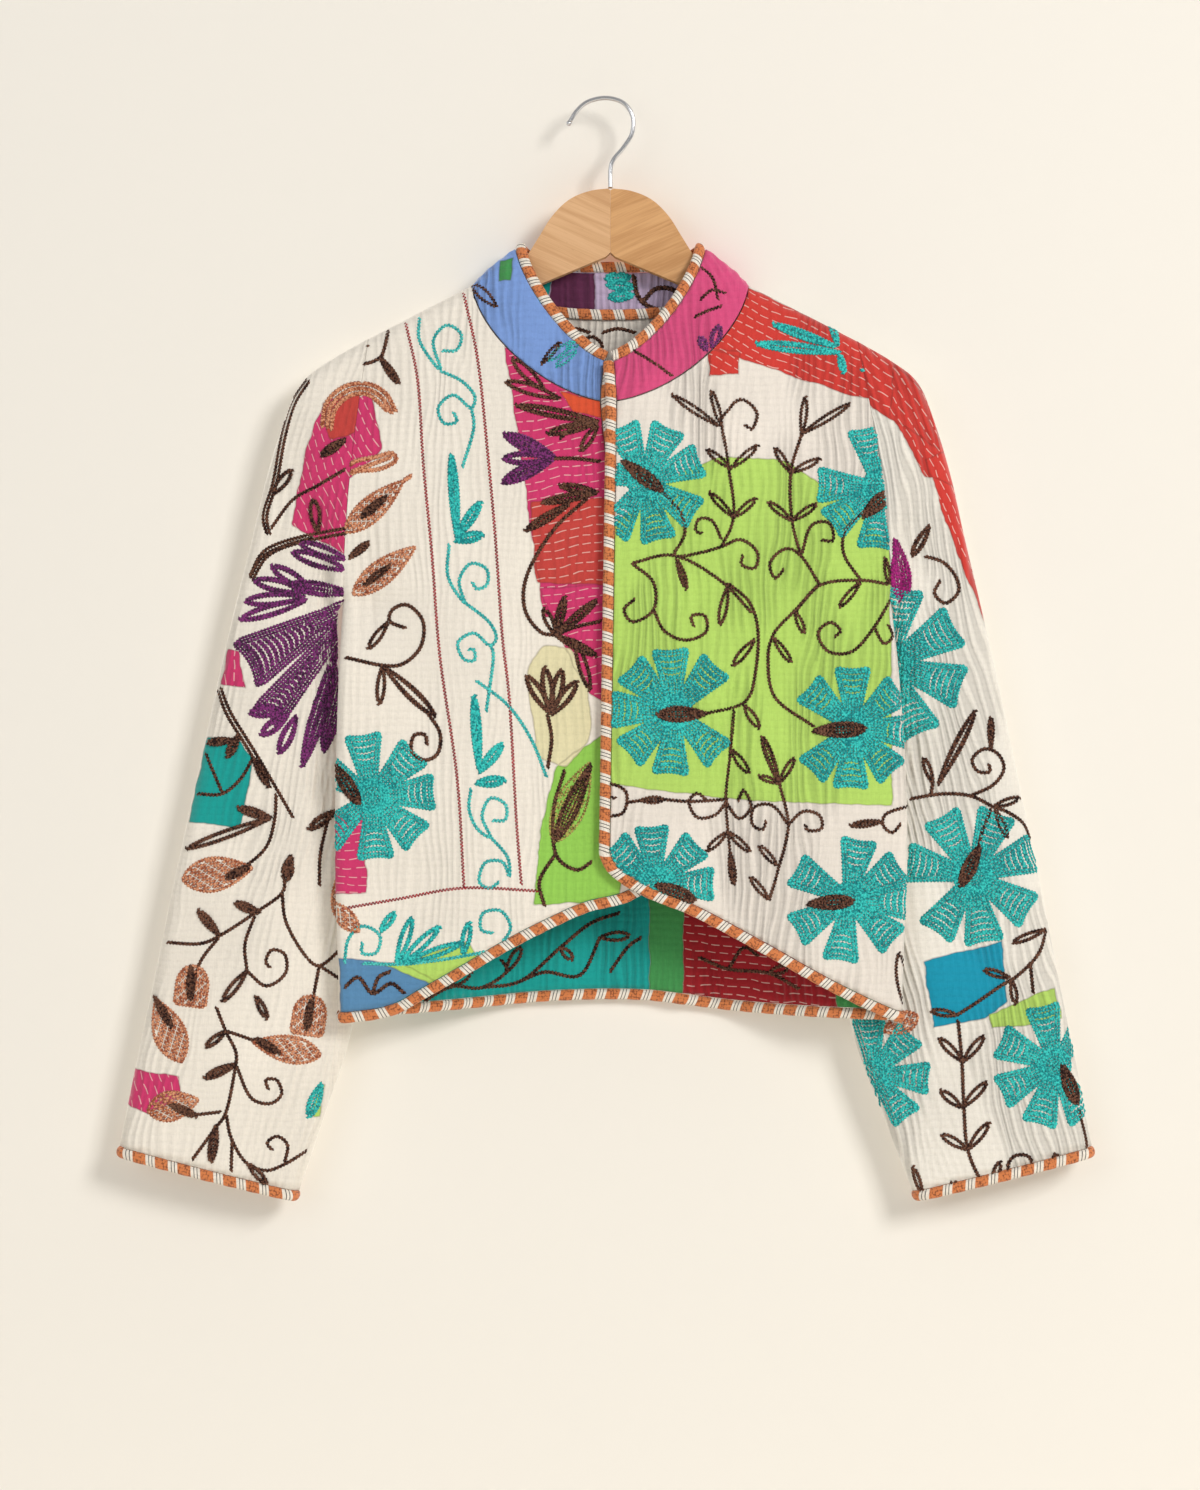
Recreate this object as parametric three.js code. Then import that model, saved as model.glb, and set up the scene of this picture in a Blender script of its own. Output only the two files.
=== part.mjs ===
// A short kantha jacket on a wooden hanger, in millimetres, with +Z up and the front of the jacket facing -Y.
// The origin is where a peg carries the hanger's hook. Quilted cotton hangs as thin walls: two lapped fronts,
// a back, two set-in sleeves and a stand collar, with one thread-wrapped binding round every edge.
// "left" and "right" are the wearer's, so the left front, which laps over the right one, lies at +X.
import * as THREE from "three";

// ---- Driving sizes ----
const CENTRE_X = 5.5; // the jacket's middle, a little beside the point where the hook hangs
const WALL = 2.6; // layers of old cotton quilted together
const GAP = 0.3; // between two pieces at a seam
const QUILT_RISE = 0.9; // how far a quilted channel stands between two rows of running stitch
const QUILT_PITCH = 12; // from one raised channel to the next
const EDGE_HALF_WIDTH = 4.7; // of the wrapped binding, across the cloth's edge
const EDGE_HALF_DEPTH = 3.4; // of the wrapped binding, through the cloth
const TAPE_HALF_DEPTH = 1.7; // of the flatter strip that hides the back neck seam inside

const NECK_HALF_WIDTH = 118; // the neck seam at the shoulders
const NECK_TOP = -160; // the height of that point
const NECK_DROP_FRONT = 102; // from there to the neck seam's front
const NECK_DROP_BACK = 22; // and to its back
const NECK_ROUNDNESS = 1.6; // the front neck seam is a superellipse of this power
const SHOULDER_SLOPE = 0.514; // fall of the shoulder for each millimetre outwards, 27 degrees
const RIDGE_RADIUS = 10; // the cloth's bend over the hanger's arms
const SIDE_RADIUS = 7; // the cloth's bend at the side seams
const UNDERARM = -428; // height of the armhole's lowest point

const FRONT_SWELL = 33; // how far the fronts swell forward of the shoulder ridge
const BACK_SWELL = 11;
const SWELL_LENGTH = 110; // the depth below the shoulder in which most of that is reached
const LAP = 4.2; // the lapped fronts part this much each way from their common surface
const LAP_WIDTH = 62; // over this distance from the front edges

const COLLAR_TOP_HALF_WIDTH = 81;
const COLLAR_TOP_SIDE = -128.5; // height of the collar's finished cloth at the sides of the neck
const COLLAR_TOP_BACK = -146;
const COLLAR_TOP_FRONT = -228;

// ---- Small helpers ----
const degrees = (angle) => (angle * Math.PI) / 180;
const clamp01 = (t) => Math.min(Math.max(t, 0), 1);
const mix = (a, b, t) => a + (b - a) * t;
const smooth = (t) => clamp01(t) ** 2 * (3 - 2 * clamp01(t));
// Rises from 0 to 1 as a quarter circle does, standing upright at 0.
const quarterRound = (t) => Math.sqrt(1 - (1 - clamp01(t)) ** 2);
const spread = (count, from, to) =>
  Array.from({ length: count + 1 }, (_, i) => mix(from, to, i / count));

// A smooth curve through the rows of a table: the value of one column where another has the value given.
function through(rows, at, value) {
  const slope = (i) => {
    const before = rows[Math.max(i - 1, 0)];
    const after = rows[Math.min(i + 1, rows.length - 1)];
    return (after[value] - before[value]) / (after[at] - before[at]);
  };
  return (x) => {
    const last = rows.length - 2;
    const i = Math.min(Math.max(rows.findIndex((row) => row[at] > x) - 1, 0), last);
    const start = x >= rows[last + 1][at] ? last : i;
    const span = rows[start + 1][at] - rows[start][at];
    const t = clamp01((x - rows[start][at]) / span);
    const t2 = t * t;
    const t3 = t2 * t;
    return (
      (2 * t3 - 3 * t2 + 1) * rows[start][value] +
      (t3 - 2 * t2 + t) * span * slope(start) +
      (3 * t2 - 2 * t3) * rows[start + 1][value] +
      (t3 - t2) * span * slope(start + 1)
    );
  };
}

// ---- Outlines of the body, seen from the front; "across" is measured from the jacket's middle ----
// The side of the body: the armhole's foot, the side seam's swing and the hem's corner.
const SIDES = {
  right: { sign: -1, shoulder: 206, underarm: 226, waist: 232, hem: 229 },
  left: { sign: 1, shoulder: 210, underarm: 237, waist: 250, hem: 246 },
};
const WAIST = -640;
const SIDE_HEM = -776;

const RIGHT_FRONT_HEM = [
  { across: -240, height: -777 },
  { across: -221, height: -777 },
  { across: -186, height: -771 },
  { across: -160, height: -757 },
  { across: -125, height: -737 },
  { across: -91, height: -717 },
  { across: -56, height: -699 },
  { across: -22, height: -684 },
  { across: 10, height: -676 },
  { across: 32, height: -664 },
];
const LEFT_FRONT_HEM = [
  { across: -2, height: -640 },
  { across: 6, height: -654 },
  { across: 33, height: -671 },
  { across: 72, height: -687 },
  { across: 130, height: -718 },
  { across: 189, height: -751 },
  { across: 240, height: -775 },
  { across: 258, height: -779 },
];
const BACK_HEM = [
  { across: -240, height: -776 },
  { across: -178, height: -771 },
  { across: -108, height: -767 },
  { across: -39, height: -762 },
  { across: 30, height: -762 },
  { across: 110, height: -771 },
  { across: 218, height: -775 },
  { across: 258, height: -777 },
];

const ridgeAt = (across) => NECK_TOP - SHOULDER_SLOPE * (Math.abs(across) - NECK_HALF_WIDTH);

function frontNeckAt(across) {
  const share = clamp01(Math.abs(across) / NECK_HALF_WIDTH);
  return NECK_TOP - NECK_DROP_FRONT * (1 - share ** NECK_ROUNDNESS) ** (1 / NECK_ROUNDNESS);
}

function backNeckAt(across) {
  const share = clamp01(Math.abs(across) / NECK_HALF_WIDTH);
  return NECK_TOP - NECK_DROP_BACK * (1 - share ** 2.4);
}

// How far out the body's side lies at a height: the armhole above, the side seam below.
function sideAt(side, height) {
  const tip = ridgeAt(side.shoulder);
  if (height > UNDERARM) {
    const down = clamp01((tip - height) / (tip - UNDERARM));
    return mix(side.shoulder, side.underarm, Math.sin((down * Math.PI) / 2));
  }
  const toWaist = Math.sin((clamp01((UNDERARM - height) / (UNDERARM - WAIST)) * Math.PI) / 2);
  const toHem = smooth((WAIST - height) / (WAIST - SIDE_HEM));
  return mix(side.underarm, side.waist, toWaist) - (side.waist - side.hem) * toHem;
}

// ---- Depth of the body's cloth ----
// The side seam swings forward below the armhole, because the sleeve hangs behind it.
const sideSeamDepth = (height) =>
  mix(-20, -33, smooth((UNDERARM - height) / 60)) + 3 * smooth((WAIST - height) / 140);

// 1 where the armhole holds front and back apart, 0 along the side seam, and gentler away from the edge.
const armholeOpening = (height, inside) =>
  mix(
    quarterRound((height - UNDERARM) / 45),
    smooth((height - UNDERARM + 70) / 140),
    smooth(inside / 70),
  );

// Soft folds that hang down the panels: a trough is positive, and the depth fades out at both ends.
const FOLDS = {
  left_front: [
    { across: 104, width: 13, depth: 3.6, top: -380, bottom: -780 },
    { across: 62, width: 17, depth: -2.0, top: -470, bottom: -760 },
    { across: 165, width: 20, depth: 1.8, top: -300, bottom: -640 },
    { across: 214, width: 12, depth: 2.0, top: -300, bottom: -520 },
  ],
  right_front: [
    { across: -205, width: 12, depth: 2.2, top: -290, bottom: -520 },
    { across: -150, width: 20, depth: 1.8, top: -420, bottom: -790 },
    { across: -70, width: 18, depth: 2.0, top: -330, bottom: -740 },
  ],
  back: [
    { across: -140, width: 16, depth: -3.0, top: -330, bottom: -860 },
    { across: -40, width: 20, depth: -2.6, top: -420, bottom: -900 },
    { across: 58, width: 13, depth: -4.2, top: -520, bottom: -900 },
    { across: 128, width: 18, depth: -2.8, top: -350, bottom: -880 },
  ],
};

function foldsAt(panel, across, height) {
  return FOLDS[panel].reduce((sum, fold) => {
    const down = clamp01((fold.top - height) / (fold.top - fold.bottom));
    const away = (across - fold.across) / fold.width;
    return sum + fold.depth * Math.sin(down * Math.PI) ** 2 * Math.exp(-away * away);
  }, 0);
}

function frontDepth(panel, side, across, height) {
  const below = Math.max(ridgeAt(across) - height, 0);
  const inside = Math.max(sideAt(side, height) - side.sign * across, 0);
  const hollow = 1 - 0.24 * (across / 240) ** 2;
  const open =
    -RIDGE_RADIUS * quarterRound(below / RIDGE_RADIUS) -
    FRONT_SWELL * (1 - Math.exp(-below / SWELL_LENGTH)) * hollow;
  const seam = sideSeamDepth(height);
  const swell = open - (seam - SIDE_RADIUS);
  const closed =
    seam - SIDE_RADIUS * quarterRound(inside / SIDE_RADIUS) + swell * smooth(inside / 90);
  const lap = smooth((LAP_WIDTH + 20 - side.sign * across) / LAP_WIDTH);
  return (
    mix(closed, open, armholeOpening(height, inside)) -
    side.sign * LAP * lap +
    foldsAt(panel, across, height)
  );
}

function backDepth(across, height) {
  const side = across < 0 ? SIDES.right : SIDES.left;
  const below = Math.max(ridgeAt(across) - height, 0);
  const inside = Math.max(sideAt(side, height) - side.sign * across, 0);
  const open =
    RIDGE_RADIUS * quarterRound(below / RIDGE_RADIUS) +
    BACK_SWELL * (1 - Math.exp(-below / SWELL_LENGTH));
  const seam = sideSeamDepth(height);
  const closed =
    seam +
    SIDE_RADIUS * quarterRound(inside / SIDE_RADIUS) +
    (open - seam - SIDE_RADIUS) * smooth((inside - 38) / 122);
  return mix(closed, open, armholeOpening(height, inside)) + foldsAt("back", across, height);
}

// ---- Cloth walls ----
// A point of a grid: its place on the cloth's middle, the way its outer face looks, and the quilting's rise.
const station = (mid, normal, rise) => ({ mid, normal, rise });

function closeFaces(points, faces) {
  const positions = new Float32Array(points.flatMap((p) => [p.x, p.y, p.z]));
  const volume = faces.reduce((sum, [a, b, c]) => {
    const turned = new THREE.Vector3().crossVectors(points[b], points[c]);
    return sum + points[a].dot(turned);
  }, 0);
  const outward = volume < 0 ? faces.map(([a, b, c]) => [a, c, b]) : faces;
  const geometry = new THREE.BufferGeometry();
  geometry.setAttribute("position", new THREE.BufferAttribute(positions, 3));
  geometry.setIndex(outward.flat());
  geometry.computeVertexNormals();
  return geometry;
}

// Fills the strip between a fine row of points and a coarse one that holds some of its columns.
function zip(fineStart, coarseStart, columns, around, fineCount, coarseCount) {
  const faces = [];
  const steps = around ? columns.length : columns.length - 1;
  for (let k = 0; k < steps; k += 1) {
    const from = columns[k];
    const to = k + 1 < columns.length ? columns[k + 1] : fineCount;
    const middle = Math.floor((from + to) / 2);
    const here = coarseStart + k;
    const next = coarseStart + ((k + 1) % coarseCount);
    for (let i = from; i < to; i += 1) {
      const a = fineStart + i;
      const b = fineStart + ((i + 1) % fineCount);
      faces.push([a, b, i < middle ? here : next]);
    }
    faces.push([fineStart + (middle % fineCount), next, here]);
  }
  return faces;
}

// A wall from a grid of stations. The inner face keeps only some columns. A tube's columns run all round.
function clothWall(grid, innerColumns, around = false) {
  const rows = grid.length;
  const fine = grid[0].length;
  const coarse = innerColumns.length;
  const outerAt = (s) => s.mid.clone().addScaledVector(s.normal, WALL / 2 + s.rise);
  const innerAt = (s) => s.mid.clone().addScaledVector(s.normal, -WALL / 2);
  const points = [
    ...grid.flatMap((row) => row.map(outerAt)),
    ...grid.flatMap((row) => innerColumns.map((i) => innerAt(row[i]))),
  ];
  const innerStart = rows * fine;
  const faces = [];
  const sheet = (start, count, flipped) => {
    const columns = around ? count : count - 1;
    for (let j = 0; j + 1 < rows; j += 1) {
      for (let i = 0; i < columns; i += 1) {
        const a = start + j * count + i;
        const b = start + j * count + ((i + 1) % count);
        const quad = [
          [a, b, b + count],
          [a, b + count, a + count],
        ];
        faces.push(...quad.map(([p, q, r]) => (flipped ? [p, r, q] : [p, q, r])));
      }
    }
  };
  sheet(0, fine, false);
  sheet(innerStart, coarse, true);
  const firstRim = zip(0, innerStart, innerColumns, around, fine, coarse);
  const lastStart = (rows - 1) * fine;
  const lastInner = innerStart + (rows - 1) * coarse;
  const lastRim = zip(lastStart, lastInner, innerColumns, around, fine, coarse);
  faces.push(...firstRim.map(([a, b, c]) => [a, c, b]), ...lastRim);
  for (let j = 0; !around && j + 1 < rows; j += 1) {
    const ends = [
      [j * fine, innerStart + j * coarse, 1, 1],
      [j * fine + fine - 1, innerStart + j * coarse + coarse - 1, 1, -1],
    ];
    for (const [out, inn, , turn] of ends) {
      const quad = [
        [out, out + fine, inn + coarse],
        [out, inn + coarse, inn],
      ];
      faces.push(...quad.map(([p, q, r]) => (turn > 0 ? [p, q, r] : [p, r, q])));
    }
  }
  return closeFaces(points, faces);
}

// ---- Body panels ----
const RIDGE_ANGLES = [0, 30, 60, 90]; // the rows that turn over the shoulder
const ROWS_TO_UNDERARM = [0.34, 0.62, 0.82, 0.94, 1]; // shares of the way from there to the underarm
const ROWS_TO_HEM = [0.1, 0.3, 0.53, 0.77, 1]; // and on to the hem
const SIDE_ANGLES = [60, 30, 0]; // the columns that turn round the side seam
const UNDERARM_INSET = 1; // keeps the corner of the cloth there clear of the sleeve

function panelNormal(depthAt, facing, x, z) {
  const step = 0.4;
  const slopeX = (depthAt(x + step, z) - depthAt(x - step, z)) / (2 * step);
  const slopeZ = (depthAt(x, z + step) - depthAt(x, z - step)) / (2 * step);
  return new THREE.Vector3(-slopeX * facing, facing, -slopeZ * facing).normalize();
}

// Heights down the shoulder's rounding first, then by the underarm to the hem.
function heightsFrom(top, hem) {
  const bend = RIDGE_ANGLES.map((angle) => top - RIDGE_RADIUS * (1 - Math.cos(degrees(angle))));
  const upper = ROWS_TO_UNDERARM.map((share) => mix(top - RIDGE_RADIUS, UNDERARM, share));
  const lower = ROWS_TO_HEM.map((share) => mix(UNDERARM, hem, share));
  return [...bend, ...upper, ...lower];
}

// A body panel as a grid of stations. "edges" gives the column stations as functions of height.
function panelGrid({ columns, topAt, hemAt, depthAt, facing }) {
  const grid = heightsFrom(NECK_TOP, SIDE_HEM).map(() => []);
  columns.forEach((column, i) => {
    let top = UNDERARM;
    for (let pass = 0; pass < 6; pass += 1) top = topAt(column.across(top));
    let hem = SIDE_HEM;
    for (let pass = 0; pass < 6; pass += 1) hem = hemAt(column.across(hem));
    heightsFrom(top, hem).forEach((height, j) => {
      const across = column.across(height);
      const normal = panelNormal(depthAt, facing, across, height);
      const onRidge = j === 0 && Math.abs(ridgeAt(across) - top) < 0.01;
      const atUnderarm = column.side && Math.abs(height - UNDERARM) < 0.01;
      if (onRidge) normal.set(SHOULDER_SLOPE * Math.sign(across), 0, 1).normalize();
      if (column.side) {
        const step = 0.5;
        const down = column.side;
        const slope = (down.depth(height - step) - down.depth(height + step)) / (2 * step);
        const lean = (down.across(height - step) - down.across(height + step)) / (2 * step);
        if (atUnderarm) normal.set(down.sign, 0, -1).normalize();
        else if (height < UNDERARM) normal.set(down.sign, 0, lean * down.sign).normalize();
        else if (onRidge) normal.set(0, 0, 1);
        else normal.set(0, facing, slope * facing).normalize();
      }
      const seamShift = onRidge || (column.side && height <= UNDERARM) ? GAP : 0;
      const mid = new THREE.Vector3(
        CENTRE_X + across - (atUnderarm ? UNDERARM_INSET * column.side.sign : 0),
        depthAt(across, height) + seamShift * facing,
        height,
      );
      grid[j][i] = station(mid, normal, column.rise);
    });
  });
  return grid;
}

// Columns from one edge of the cloth to its side seam, with a raised channel at every other one.
function columnsTo(side, fromAt, depthAt) {
  // one column passes through the point where the neck seam meets the shoulder
  const start = side.sign * fromAt(NECK_TOP);
  const end = sideAt(side, NECK_TOP) - SIDE_RADIUS;
  const neckShare = (NECK_HALF_WIDTH - start) / (end - start);
  const count = 2 * Math.round((sideAt(side, WAIST) - start) / QUILT_PITCH);
  const neckColumn = 2 * Math.round((neckShare * count) / 2);
  const shares = [
    ...spread(neckColumn, 0, neckShare),
    ...spread(count - neckColumn, neckShare, 1).slice(1),
  ];
  const flat = shares.map((share, i) => ({
    onNeckPoint: i === neckColumn,
    rise: i % 2 ? QUILT_RISE : 0,
    across: (height) => {
      const out = side.sign * sideAt(side, height) - side.sign * SIDE_RADIUS;
      return mix(fromAt(height), out, share);
    },
  }));
  const turned = SIDE_ANGLES.map((angle) => ({
    rise: 0,
    side: angle
      ? null
      : {
          sign: side.sign,
          across: (height) => side.sign * sideAt(side, height),
          depth: (height) => depthAt(side.sign * sideAt(side, height), height),
        },
    across: (height) => {
      const inside = SIDE_RADIUS * (1 - Math.cos(degrees(angle)));
      return side.sign * (sideAt(side, height) - inside);
    },
  }));
  return [...flat, ...turned];
}

// The coarse columns of a panel's inner face: every fourth one, and all of those round the side seam.
function innerColumnsOf(grid, turnedAtStart = false) {
  const last = grid[0].length - 1;
  const turned = SIDE_ANGLES.length + 1;
  return [...Array(last + 1).keys()].filter(
    (i) =>
      i === 0 ||
      i > last - turned ||
      (turnedAtStart && i < turned) ||
      (i % 4 === 0 && i < last - turned - 1),
  );
}

const FRONT_EDGES = {
  // how far across each front's finished cloth reaches, at the neck and at the hem's corner
  left: { neck: 5.5, corner: -0.5 },
  right: { neck: -9, corner: 31 },
};
const FRONT_CORNER = -650;

function frontGrid(name) {
  const panel = `${name}_front`;
  const side = SIDES[name];
  const edge = FRONT_EDGES[name];
  const neck = NECK_TOP - NECK_DROP_FRONT;
  const fromAt = (height) =>
    mix(edge.neck, edge.corner, clamp01((neck - height) / (neck - FRONT_CORNER)));
  const depthAt = (across, height) => frontDepth(panel, side, across, height);
  const hem = name === "left" ? LEFT_FRONT_HEM : RIGHT_FRONT_HEM;
  return panelGrid({
    columns: columnsTo(side, fromAt, depthAt),
    topAt: (across) =>
      Math.abs(across) < NECK_HALF_WIDTH ? frontNeckAt(across) : ridgeAt(across),
    hemAt: through(hem, "across", "height"),
    depthAt,
    facing: -1,
  });
}

function backGrid() {
  const half = (side) => columnsTo(side, () => 0, backDepth);
  const columns = [...half(SIDES.right).reverse(), ...half(SIDES.left).slice(1)];
  return panelGrid({
    columns,
    topAt: (across) =>
      Math.abs(across) < NECK_HALF_WIDTH ? backNeckAt(across) : ridgeAt(across),
    hemAt: through(BACK_HEM, "across", "height"),
    depthAt: backDepth,
    facing: 1,
  });
}

// ---- Sleeves ----
// Rings from the armhole to the cuff. Each is a flat loop between a point on the outer fold and one on the
// underarm seam, with the depth of its middle and how far its front and back swell past its round ends.
const SLEEVE_RINGS = [
  { ring: 0, outer: 210, outerHeight: -207.3, inner: 237, innerHeight: -428, middle: -6, front: 9, back: 5 },
  { ring: 1, outer: 240, outerHeight: -225, inner: 242.5, innerHeight: -438, middle: -4, front: 9, back: 5 },
  { ring: 2, outer: 262, outerHeight: -243, inner: 241, innerHeight: -450, middle: -1, front: 9, back: 5 },
  { ring: 3, outer: 276, outerHeight: -274, inner: 237, innerHeight: -466, middle: 2, front: 9, back: 4 },
  { ring: 4, outer: 291, outerHeight: -322, inner: 230, innerHeight: -490, middle: 4, front: 9, back: 4 },
  { ring: 5, outer: 303, outerHeight: -374, inner: 220, innerHeight: -523, middle: 5, front: 9, back: 4 },
  { ring: 6, outer: 318, outerHeight: -436, inner: 210, innerHeight: -568, middle: 5, front: 10, back: 4 },
  { ring: 7, outer: 335, outerHeight: -512, inner: 201, innerHeight: -625, middle: 5, front: 10, back: 4 },
  { ring: 8, outer: 351, outerHeight: -588, inner: 198, innerHeight: -685, middle: 4, front: 10, back: 4 },
  { ring: 9, outer: 368, outerHeight: -668, inner: 201, innerHeight: -745, middle: 3, front: 10, back: 4 },
  { ring: 10, outer: 384, outerHeight: -748, inner: 213, innerHeight: -805, middle: 3, front: 10, back: 4 },
  { ring: 11, outer: 400, outerHeight: -826, inner: 237, innerHeight: -868, middle: 2, front: 8, back: 4 },
  { ring: 12, outer: 413, outerHeight: -894, inner: 262, innerHeight: -932, middle: 0, front: 6, back: 4 },
];
const SLEEVE_END_RADIUS = 12; // of the folds along both edges of a hanging sleeve
const SLEEVE_COUNT = 14; // rings that are built
const SLEEVE_AROUND = 60; // columns round the sleeve, alternately raised
const ARMHOLE_BLEND = 2.4; // rings over which the armhole's loop becomes the sleeve's own
const SLEEVES = {
  // swing moves the cuff outwards, and tuck draws the inner fold out from behind the body
  right: { sign: -1, swing: 5, tuck: 12 },
  left: { sign: 1, swing: -3, tuck: 0 },
};
// Troughs along a sleeve: "share" is the place from the underarm to the outer fold, drifting by "drift".
const SLEEVE_FOLDS = [
  { face: -1, share: 0.2, drift: 0.1, width: 0.06, depth: 2.6, from: 1.5, to: 8 },
  { face: -1, share: 0.36, drift: 0.16, width: 0.06, depth: 2.4, from: 2, to: 9.5 },
  { face: -1, share: 0.56, drift: 0.12, width: 0.07, depth: 1.8, from: 3, to: 11 },
  { face: -1, share: 0.74, drift: 0.05, width: 0.07, depth: 1.4, from: 1, to: 6 },
  { face: 1, share: 0.3, drift: 0.14, width: 0.08, depth: 2.4, from: 1.5, to: 9 },
  { face: 1, share: 0.55, drift: 0.1, width: 0.08, depth: 2.0, from: 2.5, to: 11 },
];

function sleevePoint(name, around, ring) {
  const sleeve = SLEEVES[name];
  const side = SIDES[name];
  const at = (column) => through(SLEEVE_RINGS, "ring", column)(ring);
  const own = smooth(ring / ARMHOLE_BLEND);
  const down = ring / 12;
  const outer = {
    across: at("outer") + (side.shoulder - 210) * (1 - own) + sleeve.swing * down,
    height: at("outerHeight") + (ridgeAt(side.shoulder) - ridgeAt(210)) * (1 - own),
  };
  const inner = {
    across:
      at("inner") +
      (side.underarm - 237) * (1 - smooth(ring / 6)) +
      sleeve.swing * down +
      sleeve.tuck * Math.sin(clamp01((ring - 3) / 9) * Math.PI),
    height: at("innerHeight"),
  };
  // once round: from the underarm along the front to the outer fold, and back behind
  const front = around < 0.5;
  const half = front ? around * 2 : (1 - around) * 2;
  const width = Math.hypot(outer.across - inner.across, outer.height - inner.height);
  const radius = SLEEVE_END_RADIUS;
  const quarter = (Math.PI / 2) * radius;
  const flat = width - 2 * radius;
  const along = half * (2 * quarter + flat);
  let place = radius + (along - quarter);
  let swell = radius;
  if (along < quarter) {
    place = radius * (1 - Math.cos(along / radius));
    swell = radius * Math.sin(along / radius);
  } else if (along > quarter + flat) {
    const turn = (along - quarter - flat) / radius;
    place = width - radius + radius * Math.sin(turn);
    swell = radius * Math.cos(turn);
  }
  const share = place / width;
  const face = front ? -1 : 1;
  const crown = at(front ? "front" : "back") * Math.sin(share * Math.PI);
  const troughs = SLEEVE_FOLDS.filter((fold) => fold.face === face).reduce((sum, fold) => {
    const progress = clamp01((ring - fold.from) / (fold.to - fold.from));
    const away = (share - fold.share - fold.drift * progress) / fold.width;
    return sum + fold.depth * Math.sin(progress * Math.PI) ** 2 * Math.exp(-away * away);
  }, 0);
  const ownDepth = at("middle") + face * (swell + crown - troughs);
  // the body's own edge at this share of the armhole, which bows out from a straight line
  const edgeHeight = mix(UNDERARM, ridgeAt(side.shoulder), share);
  const edgeAcross = sideAt(side, edgeHeight);
  const edgeDepth = front
    ? frontDepth(`${name}_front`, side, side.sign * edgeAcross, edgeHeight)
    : backDepth(side.sign * edgeAcross, edgeHeight);
  const bow = (edgeAcross - mix(side.underarm, side.shoulder, share)) * (1 - own) ** 2;
  const across = mix(inner.across, outer.across, share) + bow + GAP;
  const height = mix(inner.height, outer.height, share);
  return new THREE.Vector3(
    CENTRE_X + side.sign * across,
    mix(edgeDepth, ownDepth, own),
    height,
  );
}

function sleeveGrid(name) {
  const sign = SIDES[name].sign;
  return spread(SLEEVE_COUNT - 1, 0, 12).map((ring, j) =>
    Array.from({ length: SLEEVE_AROUND }, (_, i) => {
      const around = i / SLEEVE_AROUND;
      const step = 0.002;
      const mid = sleevePoint(name, around, ring);
      const turned = (a) => sleevePoint(name, (a + 1) % 1, ring);
      const onward = new THREE.Vector3().subVectors(turned(around + step), turned(around - step));
      const downward = new THREE.Vector3().subVectors(
        sleevePoint(name, around, Math.min(ring + 0.05, 12)),
        sleevePoint(name, around, Math.max(ring - 0.05, 0)),
      );
      if (j === 0) downward.set(sign, 0, 0); // square to the armhole, to meet the body's edge
      const normal = new THREE.Vector3().crossVectors(onward, downward).normalize();
      if (sign > 0) normal.negate();
      const raised = i % 2 && j > 0 ? QUILT_RISE : 0;
      return station(mid, normal, raised);
    }),
  );
}

// A sleeve's inner face keeps fewer columns where it lies flat.
function sleeveInnerColumns() {
  const half = SLEEVE_AROUND / 2;
  const nearFold = (i) => Math.min(i % half, half - (i % half)) <= 4;
  return [...Array(SLEEVE_AROUND).keys()].filter((i) => i % 2 === 0 && (nearFold(i) || i % 6 === 0));
}

// ---- Collar ----
const COLLAR_ROWS = 4;
const LONG_STEP = 11; // degrees round the neck between two stations

// The turn from the back of the neck to a point of the neck seam: 90 degrees at the shoulders, 180 in front.
function neckAngle(across, inFront) {
  const share = clamp01(Math.abs(across) / NECK_HALF_WIDTH) ** (NECK_ROUNDNESS / 2);
  const turn = (Math.asin(share) * 180) / Math.PI;
  return Math.sign(across) * (inFront ? 180 - turn : turn);
}

function collarTop(angle) {
  const turn = degrees(angle);
  const sign = Math.sign(angle);
  const inFront = Math.max(-Math.cos(turn), 0);
  const behind = Math.max(Math.cos(turn), 0);
  const roundness = inFront ? 1.35 : 0.55; // squarer behind, so that it clears the hanger's arms
  const across = sign * COLLAR_TOP_HALF_WIDTH * Math.abs(Math.sin(turn)) ** roundness;
  const fall = (COLLAR_TOP_SIDE - COLLAR_TOP_FRONT) * inFront ** 1.45;
  const sink = (COLLAR_TOP_SIDE - COLLAR_TOP_BACK) * behind ** 1.5;
  const lap = sign * LAP * smooth((inFront - 0.6) / 0.4);
  const depth = -34 * inFront ** 0.8 + 14.5 * behind ** 0.7 - lap;
  return new THREE.Vector3(CENTRE_X + across, depth, COLLAR_TOP_SIDE - fall - sink);
}

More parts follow.
